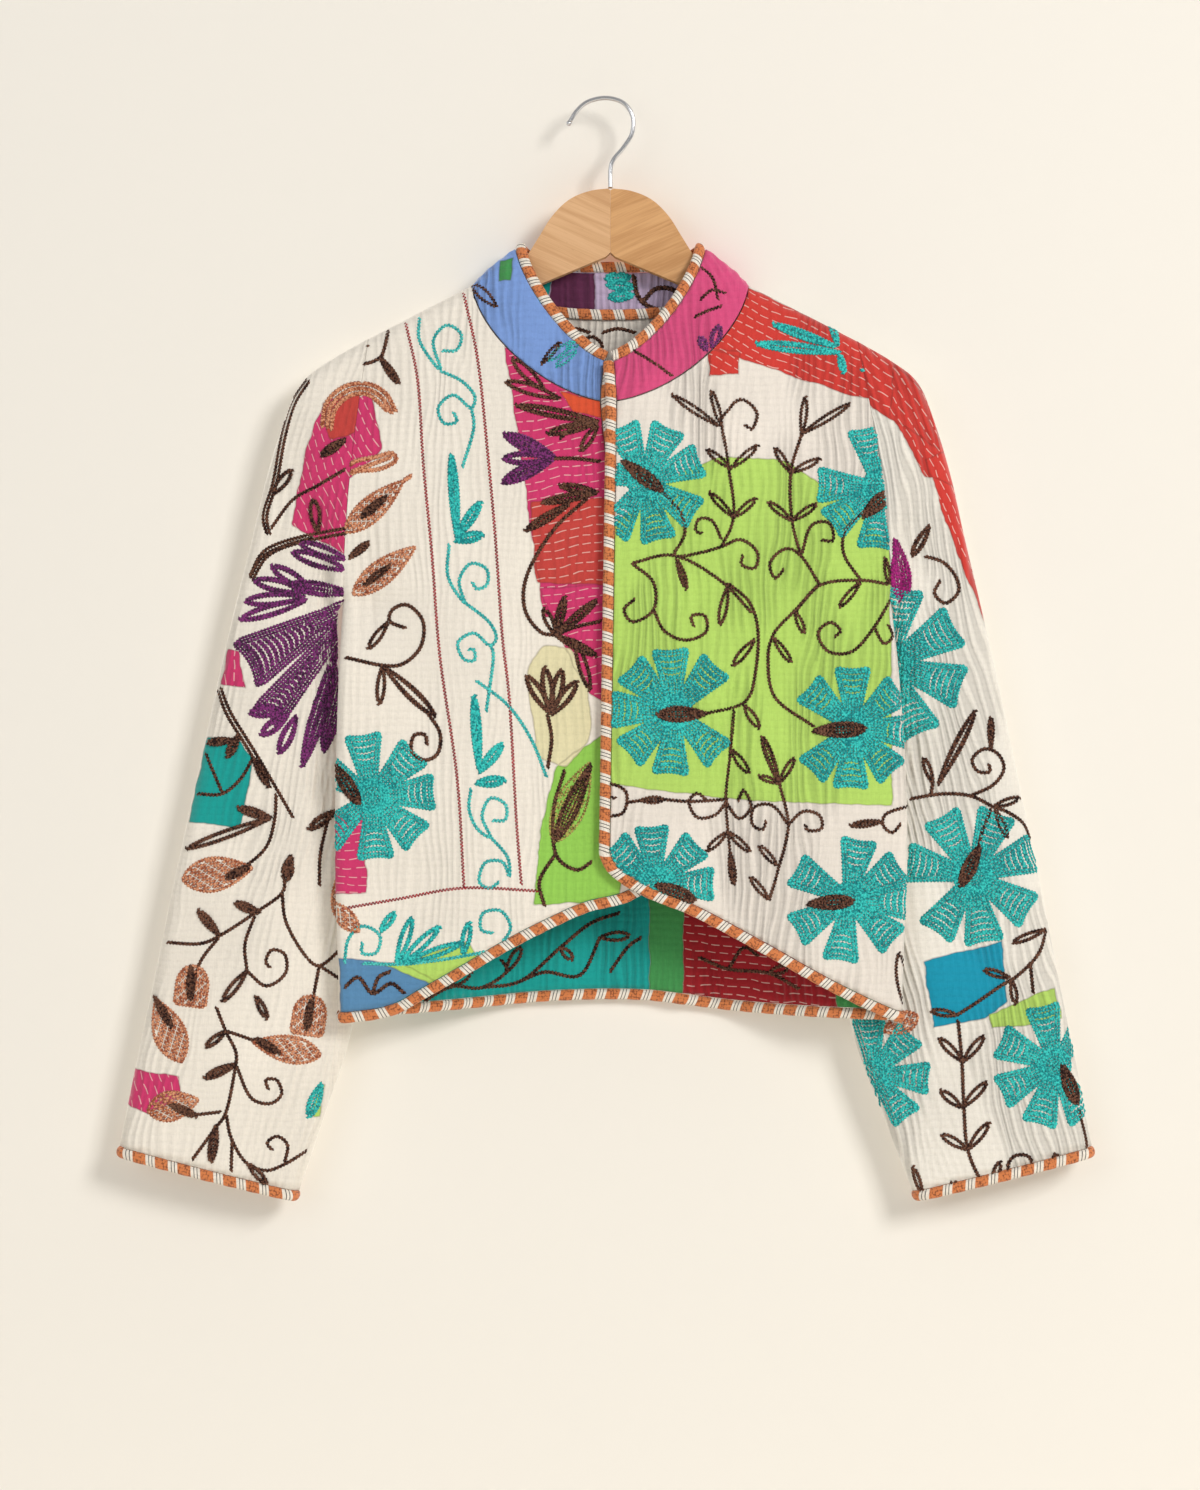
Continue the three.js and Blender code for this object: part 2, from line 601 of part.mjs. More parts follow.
// The neck seam from the right front's edge by the back to the left front's, as the panels' own stations.
function neckSeam(rightFront, back, leftFront) {
  const reach = (grid) => grid[0].filter(({ mid }) => Math.abs(mid.x - CENTRE_X) < NECK_HALF_WIDTH + 0.1);
  const steep = ({ mid }) => Math.abs(mid.x - CENTRE_X) > NECK_HALF_WIDTH / 2;
  const sparse = (list) => list.filter((at, i) => i % 2 === 0 || steep(at));
  const front = (grid) =>
    sparse(reach(grid)).map((at) => ({ ...at, angle: neckAngle(at.mid.x - CENTRE_X, true) }));
  const behind = reach(back)
    .slice(1, -1)
    .filter((_, i, list) => i % 2 === 1 || i < 2 || i > list.length - 3)
    .map((at) => ({ ...at, angle: neckAngle(at.mid.x - CENTRE_X, false) }));
  const seam = [...front(rightFront), ...behind, ...front(leftFront).reverse()];
  // one more on each long step beside the shoulders, halfway along the panels' straight edges
  return seam.flatMap((at, i) => {
    const next = seam[i + 1];
    if (!next || Math.abs(next.angle - at.angle) < LONG_STEP) return [at];
    const mid = at.mid.clone().lerp(next.mid, 0.5);
    const normal = at.normal.clone().lerp(next.normal, 0.5).normalize();
    return [at, { mid, normal, angle: mix(at.angle, next.angle, 0.5) }];
  });
}

function collarGrid(seam) {
  const pointAt = ({ mid, angle }, share) => {
    const top = collarTop(angle);
    const up = new THREE.Vector3().subVectors(top, mid).normalize();
    const outward = new THREE.Vector3(mid.x - CENTRE_X, mid.y * 1.5, 20).normalize();
    const start = mid.clone().addScaledVector(up, 4 * GAP);
    return start.lerp(top, share).addScaledVector(outward, 2.2 * Math.sin(share * Math.PI));
  };
  return spread(COLLAR_ROWS, 0, 1).map((share, j) =>
    seam.map((at, i) => {
      const before = pointAt(seam[Math.max(i - 1, 0)], share);
      const after = pointAt(seam[Math.min(i + 1, seam.length - 1)], share);
      const upward = new THREE.Vector3().subVectors(
        pointAt(at, Math.min(share + 0.02, 1)),
        pointAt(at, Math.max(share - 0.02, 0)),
      );
      const own = new THREE.Vector3().crossVectors(upward, after.sub(before)).normalize();
      return station(pointAt(at, share), j === 0 ? at.normal : own, 0);
    }),
  );
}

// ---- Bindings ----
// A rounded strip along a row of stations. Each has the way out of the cloth, in the cloth's own plane.
function strip(path, halfWidth, halfDepth, offset, sides, around = false) {
  const points = path.flatMap(({ mid, out, normal }) => {
    const centre = mid.clone().addScaledVector(out, offset.out).addScaledVector(normal, offset.in);
    return Array.from({ length: sides }, (_, k) => {
      const turn = ((k + 0.5) / sides) * 2 * Math.PI;
      return centre
        .clone()
        .addScaledVector(out, halfWidth * Math.cos(turn))
        .addScaledVector(normal, halfDepth * Math.sin(turn));
    });
  });
  const faces = [];
  const rings = path.length;
  for (let j = 0; j < (around ? rings : rings - 1); j += 1) {
    const next = (j + 1) % rings;
    for (let k = 0; k < sides; k += 1) {
      const turned = (k + 1) % sides;
      const [a, b] = [j * sides + k, j * sides + turned];
      const [c, d] = [next * sides + turned, next * sides + k];
      faces.push([a, b, c], [a, c, d]);
    }
  }
  for (let k = 1; !around && k + 1 < sides; k += 1) {
    const end = (rings - 1) * sides;
    faces.push([0, k + 1, k], [end, end + k, end + k + 1]);
  }
  return closeFaces(points, faces);
}

// Turns a run of stations along an edge into a path, from each one's inner neighbour.
function pathAlong(edge, inside, around = false) {
  const count = edge.length;
  const between = (a, b) =>
    new THREE.Vector3().subVectors(edge[b % count].mid, edge[(a + count) % count].mid);
  const tangent = (i) => {
    if (around || (i > 0 && i < count - 1)) return between(i - 1, i + 1);
    const [near, far] = i ? [between(i - 1, i), between(i - 2, i - 1)] : [between(0, 1), between(1, 2)];
    return near.multiplyScalar(1.5).addScaledVector(far, -0.5);
  };
  return edge.map((at, i) => {
    const along = tangent(i).normalize();
    const normal = at.normal.clone().addScaledVector(along, -at.normal.dot(along)).normalize();
    const out = new THREE.Vector3().crossVectors(along, normal).normalize();
    const outward = new THREE.Vector3().subVectors(at.mid, inside[i].mid);
    if (out.dot(outward) < 0) out.negate();
    return { mid: at.mid, out, normal };
  });
}

const edgeStrip = (path, around = false) => {
  const offset = { out: EDGE_HALF_WIDTH + GAP, in: 0 };
  return strip(path, EDGE_HALF_WIDTH, EDGE_HALF_DEPTH, offset, 8, around);
};

const everySecond = (list) => list.filter((_, i) => i % 2 === 0 || i > list.length - 5);

// Down the collar's end, down the front edge, round the corner and along the hem to the side seam.
function frontBinding(name, grid, collar) {
  const end = name === "left" ? collar[0].length - 1 : 0;
  const inner = name === "left" ? end - 1 : 1;
  const collarEnd = collar.map((row) => row[end]).reverse();
  const collarInside = collar.map((row) => row[inner]).reverse();
  const frontEdge = grid.slice(3).map((row) => row[0]);
  const frontInside = grid.slice(3).map((row) => row[1]);
  const last = grid.length - 1;
  const hem = everySecond(grid[last].slice(1));
  const hemInside = everySecond(grid[last - 1].slice(1));
  const edge = [...collarEnd.slice(0, -1), ...frontEdge, ...hem];
  const inside = [...collarInside.slice(0, -1), ...frontInside, ...hemInside];
  return edgeStrip(pathAlong(edge, inside));
}

function hemBinding(grid) {
  const last = grid.length - 1;
  const keep = (_, i) => i % 2 === 0 || i < 5 || i > grid[last].length - 6;
  return edgeStrip(pathAlong(grid[last].filter(keep), grid[last - 1].filter(keep)));
}

function collarBinding(collar) {
  const last = collar.length - 1;
  return edgeStrip(pathAlong(collar[last], collar[last - 1]));
}

function cuffBinding(grid) {
  const last = grid.length - 1;
  const keep = (_, i) => i % 2 === 0;
  return edgeStrip(pathAlong(grid[last].filter(keep), grid[last - 1].filter(keep), true), true);
}

// A flatter strip inside, over the seam between the back and the collar.
const TAPE_REACH = 66; // degrees each way from the back of the neck
function neckTape(neck) {
  const seam = neck.filter(({ angle }) => Math.abs(angle) < TAPE_REACH);
  const below = seam.map(({ mid }) => ({ mid: mid.clone().add(new THREE.Vector3(0, 0, -5)) }));
  const offset = { out: 0, in: -(WALL / 2 + GAP + TAPE_HALF_DEPTH) };
  return strip(pathAlong(seam, below), EDGE_HALF_WIDTH, TAPE_HALF_DEPTH, offset, 6);
}

// ---- Hanger ----
const HANGER = {
  thickness: 12,
  halfLength: 203,
  crown: -78, // top of the wood
  notch: -131, // underside at the joint
  bevel: 1.5,
  clearance: 5, // under the middle of the cloth that lies on the arms
};
// The upper edge of an arm, out from the joint to where it runs straight under the shoulder.
const HANGER_SHOULDER = [
  { out: 0, height: -78 },
  { out: 18, height: -80.5 },
  { out: 35, height: -88 },
  { out: 49, height: -102 },
  { out: 60, height: -119.5 },
  { out: 70, height: -135 },
  { out: 84, height: -152 },
  { out: 108, height: -170.5 },
];
const HANGER_UNDERSIDE = [
  { out: 205, height: -233 },
  { out: 150, height: -203 },
  { out: 95, height: -172 },
  { out: 0, height: -131 },
];

function hangerArm(sign) {
  const tipTop = ridgeAt(HANGER.halfLength) - HANGER.clearance;
  const tipOut = HANGER.halfLength - HANGER.bevel;
  const edge = new THREE.SplineCurve(
    HANGER_SHOULDER.map(({ out, height }) => new THREE.Vector2(out, height)),
  ).getPoints(14);
  const under = new THREE.SplineCurve(
    HANGER_UNDERSIDE.map(({ out, height }) => new THREE.Vector2(Math.min(out, tipOut - 9), height)),
  ).getPoints(8);
  const outline = [
    ...edge,
    new THREE.Vector2(tipOut - 8, tipTop + 3),
    new THREE.Vector2(tipOut - 2, tipTop - 2.5),
    new THREE.Vector2(tipOut, tipTop - 10),
    new THREE.Vector2(tipOut - 3, tipTop - 16),
    ...under,
  ];
  const joint = GAP / 2 + HANGER.bevel; // half the glue line, clear of the bevel
  const shape = new THREE.Shape(
    outline.map(({ x, y }) => new THREE.Vector2(sign * Math.max(x, joint), y)),
  );
  const geometry = new THREE.ExtrudeGeometry(shape, {
    depth: HANGER.thickness - 2 * HANGER.bevel,
    bevelThickness: HANGER.bevel,
    bevelSize: HANGER.bevel,
    bevelOffset: 0,
    bevelSegments: 1,
    curveSegments: 1,
  });
  geometry.rotateX(Math.PI / 2);
  geometry.translate(CENTRE_X, HANGER.thickness / 2 - HANGER.bevel, 0);
  return geometry;
}

// The steel hook: up out of the wood, out to the right, over the peg and down to its tip.
const HOOK_WIRE = 4;
const HOOK_LINE = [
  { x: 5.5, z: -75.5 },
  { x: 5.5, z: -60 },
  { x: 8, z: -51 },
  { x: 17, z: -40 },
  { x: 24, z: -28 },
  { x: 24.5, z: -14 },
  { x: 17.5, z: -3 },
  { x: 6.5, z: 1.5 },
  { x: -5, z: 1.4 },
  { x: -16, z: -2.5 },
  { x: -24, z: -10 },
  { x: -29, z: -18 },
];

function hook() {
  const line = new THREE.CatmullRomCurve3(HOOK_LINE.map(({ x, z }) => new THREE.Vector3(x, 0, z)));
  const section = new THREE.Shape();
  section.absarc(0, 0, HOOK_WIRE / 2, 0, 2 * Math.PI);
  return new THREE.ExtrudeGeometry(section, {
    extrudePath: line,
    steps: 48,
    curveSegments: 4,
    bevelEnabled: false,
  });
}

// ---- Assembly ----
const FINISHES = {
  ecru_cotton: { color: 0xe6ddd0, roughness: 0.9, metalness: 0 },
  lime_cotton: { color: 0x9fd23c, roughness: 0.9, metalness: 0 },
  blue_cotton: { color: 0x6f95dd, roughness: 0.9, metalness: 0 },
  wrapped_thread: { color: 0xcf7a45, roughness: 0.8, metalness: 0 },
  beech: { color: 0xdcab72, roughness: 0.45, metalness: 0 },
  steel: { color: 0xc9cbcf, roughness: 0.22, metalness: 1 },
};

const jacket = new THREE.Group();
function addPiece(name, geometry, finish) {
  const mesh = new THREE.Mesh(geometry, new THREE.MeshStandardMaterial(FINISHES[finish]));
  mesh.name = name;
  jacket.add(mesh);
}

const back = backGrid();
const fronts = { right: frontGrid("right"), left: frontGrid("left") };
const neck = neckSeam(fronts.right, back, fronts.left);
const collar = collarGrid(neck);

addPiece("back", clothWall(back, innerColumnsOf(back, true)), "ecru_cotton");
addPiece("back_hem_binding", hemBinding(back), "wrapped_thread");
for (const name of ["right", "left"]) {
  const front = fronts[name];
  const sleeve = sleeveGrid(name);
  const cloth = name === "left" ? "lime_cotton" : "ecru_cotton";
  addPiece(`${name}_front`, clothWall(front, innerColumnsOf(front)), cloth);
  addPiece(`${name}_front_binding`, frontBinding(name, front, collar), "wrapped_thread");
  addPiece(`${name}_sleeve`, clothWall(sleeve, sleeveInnerColumns(), true), "ecru_cotton");
  addPiece(`${name}_cuff_binding`, cuffBinding(sleeve), "wrapped_thread");
  addPiece(`${name}_hanger_arm`, hangerArm(SIDES[name].sign), "beech");
}
addPiece("collar", clothWall(collar, [...collar[0].keys()]), "blue_cotton");
addPiece("collar_binding", collarBinding(collar), "wrapped_thread");
addPiece("neck_seam_tape", neckTape(neck), "wrapped_thread");
addPiece("hook", hook(), "steel");

export default jacket;
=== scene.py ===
"""A short kantha jacket on a wooden hanger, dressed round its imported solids.

Lengths are millimetres in the jacket's own frame unless a name says otherwise. The origin is where a peg
carries the hook, +Z is up and the front faces -Y. "across" is measured from the jacket's middle, "left"
and "right" are the wearer's, so the left front, which laps over the right one, lies at +X.
"""
# %% [markdown]
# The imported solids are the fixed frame. Everything below is laid on them: each cloth solid is replaced by
# a finer wall of the same form, and the sewing, the thread and the finishes are added to that.

# %% Load the frame
import math
import bpy
import numpy as np
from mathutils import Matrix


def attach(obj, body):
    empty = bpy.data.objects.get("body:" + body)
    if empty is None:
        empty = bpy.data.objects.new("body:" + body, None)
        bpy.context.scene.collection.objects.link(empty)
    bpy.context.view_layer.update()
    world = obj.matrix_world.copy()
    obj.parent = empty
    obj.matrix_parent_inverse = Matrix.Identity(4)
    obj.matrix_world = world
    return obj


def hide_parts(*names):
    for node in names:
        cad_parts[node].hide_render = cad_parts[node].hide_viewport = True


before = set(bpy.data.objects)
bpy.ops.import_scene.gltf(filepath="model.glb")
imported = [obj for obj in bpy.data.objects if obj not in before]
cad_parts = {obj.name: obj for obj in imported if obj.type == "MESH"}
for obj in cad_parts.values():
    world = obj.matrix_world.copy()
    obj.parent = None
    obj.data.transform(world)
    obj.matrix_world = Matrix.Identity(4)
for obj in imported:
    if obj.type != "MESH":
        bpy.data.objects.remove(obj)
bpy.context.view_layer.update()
MM = 0.001
CENTRE_X = 5.5
BODY = "root"
print("nodes:", len(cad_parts))

# %% [markdown]
# The camera looks straight at the front, level with the jacket's middle. A long lens from three metres
# away keeps the hanging cloth almost free of perspective.

# %% Camera
VIEW_CENTRE = (-3.4, -551.7)
VIEW_HEIGHT = 1266.5
VIEW_DISTANCE = 3000.0
SENSOR = 36.0

camera_data = bpy.data.cameras.new("camera")
camera_data.sensor_fit = "VERTICAL"
camera_data.sensor_height = SENSOR
camera_data.lens = SENSOR * VIEW_DISTANCE / VIEW_HEIGHT
camera = bpy.data.objects.new("camera", camera_data)
camera.location = (VIEW_CENTRE[0] * MM, -(VIEW_DISTANCE + 20) * MM, VIEW_CENTRE[1] * MM)
camera.rotation_euler = (math.radians(90), 0, 0)
bpy.context.scene.collection.objects.link(camera)
bpy.context.scene.camera = camera
bpy.context.scene.view_settings.view_transform = "Standard"
print("lens", round(camera_data.lens, 1), "mm")

# %% [markdown]
# The jacket's form is a handful of functions of two parameters. These small helpers work on whole arrays:
# smooth steps, a quarter circle, and a smooth curve through the rows of a short table.


# %% Curves
def mix(a, b, t):
    return a + (b - a) * t


def smooth(t):
    """3t^2 - 2t^3 between 0 and 1."""
    t = np.clip(t, 0, 1)
    return t * t * (3 - 2 * t)


def quarter_round(t):
    """Rises from 0 to 1 as a quarter circle does, standing upright at 0."""
    return np.sqrt(1 - (1 - np.clip(t, 0, 1)) ** 2)


def through(stations, values, at):
    """A cubic through points, each slope taken from the neighbours on both sides."""
    stations, values, at = (np.asarray(v, float) for v in (stations, values, at))
    slope = np.empty_like(values)
    slope[1:-1] = (values[2:] - values[:-2]) / (stations[2:] - stations[:-2])
    slope[0] = (values[1] - values[0]) / (stations[1] - stations[0])
    slope[-1] = (values[-1] - values[-2]) / (stations[-1] - stations[-2])
    i = np.clip(np.searchsorted(stations, at, side="right") - 1, 0, len(stations) - 2)
    span = stations[i + 1] - stations[i]
    t = np.clip((at - stations[i]) / span, 0, 1)
    rise = values[i] * (2 * t**3 - 3 * t**2 + 1) + values[i + 1] * (3 * t**2 - 2 * t**3)
    return rise + span * (slope[i] * (t**3 - 2 * t**2 + t) + slope[i + 1] * (t**3 - t**2))


def unit(vectors):
    return vectors / np.maximum(np.linalg.norm(vectors, axis=-1, keepdims=True), 1e-9)


# Patches and embroidery are laid out on one squared sheet held behind the jacket.
SQUARE = 0.85  # millimetres to a square
PEG_SQUARE = (604, 96)  # squares from the sheet's left and top edges to the peg


def laid(squares):
    """Places on the squared sheet, across and down from its top left corner, as x and z in millimetres."""
    return (np.reshape(squares, (-1, 2)).astype(float) - PEG_SQUARE) * (SQUARE, -SQUARE)


# %% [markdown]
# The body's outline and depth follow the same named sizes as the solids. The shoulders slope down from
# the neck, each side has an armhole above and a side seam below, and the fronts swell forward.

# %% Body sizes
WALL = 2.6
GAP = 0.3
NECK_HALF_WIDTH = 118
NECK_TOP = -160
NECK_DROP_FRONT = 102
NECK_DROP_BACK = 22
NECK_ROUNDNESS = 1.6
SHOULDER_SLOPE = 0.514
RIDGE_RADIUS = 10
SIDE_RADIUS = 7
UNDERARM = -428
WAIST = -640
SIDE_HEM = -776
FRONT_SWELL = 33
BACK_SWELL = 11
SWELL_LENGTH = 110
LAP = 4.2
LAP_WIDTH = 62
FRONT_CORNER = -650

SIDES = {
    "right": {"sign": -1, "shoulder": 206, "underarm": 226, "waist": 232, "hem": 229},
    "left": {"sign": 1, "shoulder": 210, "underarm": 237, "waist": 250, "hem": 246},
}
FRONT_EDGES = {"left": (5.5, -0.5), "right": (-9, 31)}  # across at the neck and at the hem's corner
HEMS = {  # across and height of points along each hem
    "right_front": ((-240, -221, -186, -160, -125, -91, -56, -22, 10, 32),
                    (-777, -777, -771, -757, -737, -717, -699, -684, -676, -664)),
    "left_front": ((-2, 6, 33, 72, 130, 189, 240, 258),
                   (-640, -654, -671, -687, -718, -751, -775, -779)),
    "back": ((-240, -178, -108, -39, 30, 110, 218, 258),
             (-776, -771, -767, -762, -762, -771, -775, -777)),
}
FOLDS = {  # across, width, depth, top and bottom of soft folds down the panels; a trough is positive
    "left_front": ((104, 13, 3.6, -380, -780), (62, 17, -2.0, -470, -760),
                   (165, 20, 1.8, -300, -640), (214, 12, 2.0, -300, -520)),
    "right_front": ((-205, 12, 2.2, -290, -520), (-150, 20, 1.8, -420, -790), (-70, 18, 2.0, -330, -740)),
    "back": ((-140, 16, -3.0, -330, -860), (-40, 20, -2.6, -420, -900),
             (58, 13, -4.2, -520, -900), (128, 18, -2.8, -350, -880)),
}


# %% Body outline and depth
def ridge_at(across):
    """The shoulder's height: straight down from the neck point by the slope."""
    return NECK_TOP - SHOULDER_SLOPE * (np.abs(across) - NECK_HALF_WIDTH)


def front_neck_at(across):
    """A superellipse, (across / half)^r + (drop / depth)^r = 1."""
    share = np.clip(np.abs(across) / NECK_HALF_WIDTH, 0, 1)
    return NECK_TOP - NECK_DROP_FRONT * (1 - share**NECK_ROUNDNESS) ** (1 / NECK_ROUNDNESS)


def back_neck_at(across):
    share = np.clip(np.abs(across) / NECK_HALF_WIDTH, 0, 1)
    return NECK_TOP - NECK_DROP_BACK * (1 - share**2.4)


def side_at(side, height):
    """How far out the side lies: a quarter sine down the armhole, one to the waist, then a smooth step."""
    tip = ridge_at(side["shoulder"])
    down = np.clip((tip - height) / (tip - UNDERARM), 0, 1)
    armhole = mix(side["shoulder"], side["underarm"], np.sin(down * np.pi / 2))
    to_waist = np.sin(np.clip((UNDERARM - height) / (UNDERARM - WAIST), 0, 1) * np.pi / 2)
    to_hem = smooth((WAIST - height) / (WAIST - SIDE_HEM))
    seam = mix(side["underarm"], side["waist"], to_waist) - (side["waist"] - side["hem"]) * to_hem
    return np.where(height > UNDERARM, armhole, seam)


def side_seam_depth(height):
    return mix(-20, -33, smooth((UNDERARM - height) / 60)) + 3 * smooth((WAIST - height) / 140)


def armhole_opening(height, inside):
    """1 where the armhole holds front and back apart, 0 along the side seam."""
    edge = quarter_round((height - UNDERARM) / 45)
    return mix(edge, smooth((height - UNDERARM + 70) / 140), smooth(inside / 70))


def folds_at(panel, across, height):
    """The sum of depth * sin^2 down the fold * exp(-(away / width)^2)."""
    total = np.zeros(np.broadcast(across, height).shape)
    for place, width, depth, top, bottom in FOLDS[panel]:
        down = np.clip((top - height) / (top - bottom), 0, 1)
        total = total + depth * np.sin(down * np.pi) ** 2 * np.exp(-(((across - place) / width) ** 2))
    return total


def front_depth(name, across, height):
    side = SIDES[name]
    below = np.maximum(ridge_at(across) - height, 0)
    inside = np.maximum(side_at(side, height) - side["sign"] * across, 0)
    hollow = 1 - 0.24 * (across / 240) ** 2
    swell = FRONT_SWELL * (1 - np.exp(-below / SWELL_LENGTH)) * hollow
    opened = -RIDGE_RADIUS * quarter_round(below / RIDGE_RADIUS) - swell
    seam = side_seam_depth(height)
    closed = seam - SIDE_RADIUS * quarter_round(inside / SIDE_RADIUS)
    closed = closed + (opened - seam + SIDE_RADIUS) * smooth(inside / 90)
    lap = smooth((LAP_WIDTH + 20 - side["sign"] * across) / LAP_WIDTH)
    depth = mix(closed, opened, armhole_opening(height, inside)) - side["sign"] * LAP * lap
    return depth + folds_at(name + "_front", across, height)


def back_depth(across, height):
    below = np.maximum(ridge_at(across) - height, 0)
    out = np.where(across < 0, side_at(SIDES["right"], height), side_at(SIDES["left"], height))
    inside = np.maximum(out - np.abs(across), 0)
    opened = RIDGE_RADIUS * quarter_round(below / RIDGE_RADIUS)
    opened = opened + BACK_SWELL * (1 - np.exp(-below / SWELL_LENGTH))
    seam = side_seam_depth(height)
    closed = seam + SIDE_RADIUS * quarter_round(inside / SIDE_RADIUS)
    closed = closed + (opened - seam - SIDE_RADIUS) * smooth((inside - 38) / 122)
    return mix(closed, opened, armhole_opening(height, inside)) + folds_at("back", across, height)


# %% [markdown]
# Old cotton quilted with running stitch crinkles into fine upright ridges. They are real relief, worked
# out from sines whose phase wanders, so that no two ridges run quite parallel.


# %% Crinkles
def wander(a, b, seed):
    """A slow aimless wave from -1 to 1: three sines whose directions and lengths never meet."""
    total = np.sin(a * 0.021 + b * 0.013 + seed * 1.7)
    total = total + np.sin(-a * 0.034 + b * 0.027 + seed * 2.9)
    return (total + np.sin(a * 0.052 + b * 0.041 + seed * 4.3)) / 3


RIDGE_PITCHES = (7.6, 10.8)
CRINKLE = 0.62


def crinkles(across, down, seed, strength=1.0):
    """Two rows of ridges, sin(2 pi (across + drift) / pitch), that take turns as a slow wave changes."""
    drift = 7 * wander(across * 0.7, down, seed) + 1.1 * np.sin(down / 21 + across / 9)
    first = np.sin(2 * np.pi * (across + drift) / RIDGE_PITCHES[0])
    second = np.sin(2 * np.pi * (across - 0.7 * drift) / RIDGE_PITCHES[1] + seed)
    turn = smooth(0.5 + 0.9 * wander(down * 1.3, across * 2.1, seed + 3))
    pucker = 0.25 * np.sin(2 * np.pi * down / 13 + 2.5 * wander(across * 3, down, seed + 5))
    level = 0.55 + 0.45 * wander(across * 1.6, down * 0.8, seed + 8)
    return CRINKLE * strength * level * (mix(first, second, turn) + pucker)


# where a panel's crinkles are deepest: across, height, reach across, reach down, extra strength
DEEP_CRINKLES = {
    "left_front": ((92, -500, 58, 240, 2.1), (60, -300, 60, 90, 0.8), (180, -330, 40, 120, 0.7)),
    "right_front": ((-205, -420, 36, 190, 0.7), (-40, -330, 50, 120, 0.6)),
    "back": ((-120, -500, 70, 220, 1.0), (110, -420, 80, 240, 1.0)),
}


def panel_relief(panel, across, height):
    strength = np.full(np.broadcast(across, height).shape, 0.45)
    for place, level, reach_across, reach_down, extra in DEEP_CRINKLES[panel]:
        away = ((across - place) / reach_across) ** 2 + ((height - level) / reach_down) ** 2
        strength = strength + extra * np.exp(-away)
    side = SIDES["left"] if panel == "left_front" else SIDES["right"]
    if panel == "back":
        out = np.where(across < 0, side_at(SIDES["right"], height), side_at(SIDES["left"], height))
    else:
        out = side_at(side, height)
    fade = smooth((out - np.abs(across)) / 14) * smooth((ridge_at(across) - height) / 22)
    seed = {"left_front": 1, "right_front": 2, "back": 3}[panel]
    return crinkles(across, -height, seed) * strength * fade


# %% [markdown]
# Each wall is made as one closed mesh: an outer face, an inner face and the rims that join them. A grid
# of points on the cloth's middle and the way each looks are all it needs.


# %% Mesh makers
def grid_faces(rows, columns, around=False):
    """Quads between neighbouring points of a grid, as row and column numbers of their four corners."""
    across = np.arange(columns if around else columns - 1)
    r, c = np.meshgrid(np.arange(rows - 1), across, indexing="ij")
    r, c = r.ravel(), c.ravel()
    return np.stack([r, r, r + 1, r + 1], 1), np.stack([c, c + 1, c + 1, c], 1)


def add_mesh(name, points, faces, materials, uv=None, material_index=None, smooth_shading=True):
    """An object from points in millimetres, lists of faces and one uv pair for each face corner."""
    mesh = bpy.data.meshes.new(name)
    mesh.from_pydata((np.asarray(points) * MM).tolist(), [], faces)
    if uv is not None:
        mesh.uv_layers.new(name="pattern").data.foreach_set("uv", np.asarray(uv, float).ravel())
    for material in materials:
        mesh.materials.append(material)
    if material_index is not None:
        mesh.polygons.foreach_set("material_index", np.asarray(material_index, np.int32))
    mesh.polygons.foreach_set("use_smooth", np.full(len(mesh.polygons), smooth_shading))
    mesh.update()
    piece = bpy.data.objects.new(name, mesh)
    bpy.context.scene.collection.objects.link(piece)
    return piece


def facing_out(quads, points, normal):
    """Turns the quads over where they look against the normals that belong to their points."""
    a, b, c = (points[quads[:, k]] for k in range(3))
    looks = np.cross(b - a, c - a)
    if np.sum(looks * normal[quads[:, 0]]) < 0:
        return quads[:, ::-1], True
    return quads, False


def wall_normals(mid, around=False):
    """Square to both directions of the grid, found from differences of neighbouring points."""
    if around:
        along = np.roll(mid, -1, 1) - np.roll(mid, 1, 1)
    else:
        along = np.gradient(mid, axis=1)
    return unit(np.cross(along, np.gradient(mid, axis=0)))


BEHIND = 1000  # the pattern on the back of a sleeve is laid out this much further along


def cloth_wall(name, mid, normal, relief, outer, inner, around=False):
    """Outer face mid + n (wall/2 + relief), inner face mid - n (wall/2 - relief), joined at the rims."""
    rows, columns = mid.shape[:2]
    lift = normal * relief[..., None]
    outside = mid + normal * WALL / 2 + lift
    inside = mid - normal * WALL / 2 + lift
    points = np.concatenate([outside.reshape(-1, 3), inside.reshape(-1, 3)])
    every = np.concatenate([normal.reshape(-1, 3), -normal.reshape(-1, 3)])
    r, c = grid_faces(rows, columns, around)
    quads = r * columns + c % columns
    shell = rows * columns
    quads, turned = facing_out(quads, points, every)
    a = np.arange(columns if around else columns - 1)
    b = (a + 1) % columns
    last = (rows - 1) * columns
    rims = [np.stack([b, a, a + shell, b + shell], 1)]
    rims.append(np.stack([a + last, b + last, b + last + shell, a + last + shell], 1))
    if not around:
        up = np.arange(rows - 1) * columns
        down = up + columns
        end = columns - 1
        rims.append(np.stack([up, down, down + shell, up + shell], 1))
        rims.append(np.stack([down + end, up + end, up + end + shell, down + end + shell], 1))
    rims = np.concatenate(rims)
    rims = rims[:, ::-1] if turned else rims
    faces = np.concatenate([quads, quads[:, ::-1] + shell, rims])
    uv = points[:, [0, 2]][faces] * MM
    if around:
        behind = (faces % columns >= columns // 2).any(1)
        uv[behind, :, 0] += BEHIND * MM
    index = np.concatenate([np.zeros(len(quads)), np.ones(len(quads)), np.zeros(len(rims))])
    return add_mesh(name, points, faces.tolist(), [outer, inner], uv, index)


# %% [markdown]
# Finishes are trees of shader nodes. A wire stands for a node's output and takes part in sums, so that a
# finish reads as a list of steps. A surface effect that several finishes share is one node group.


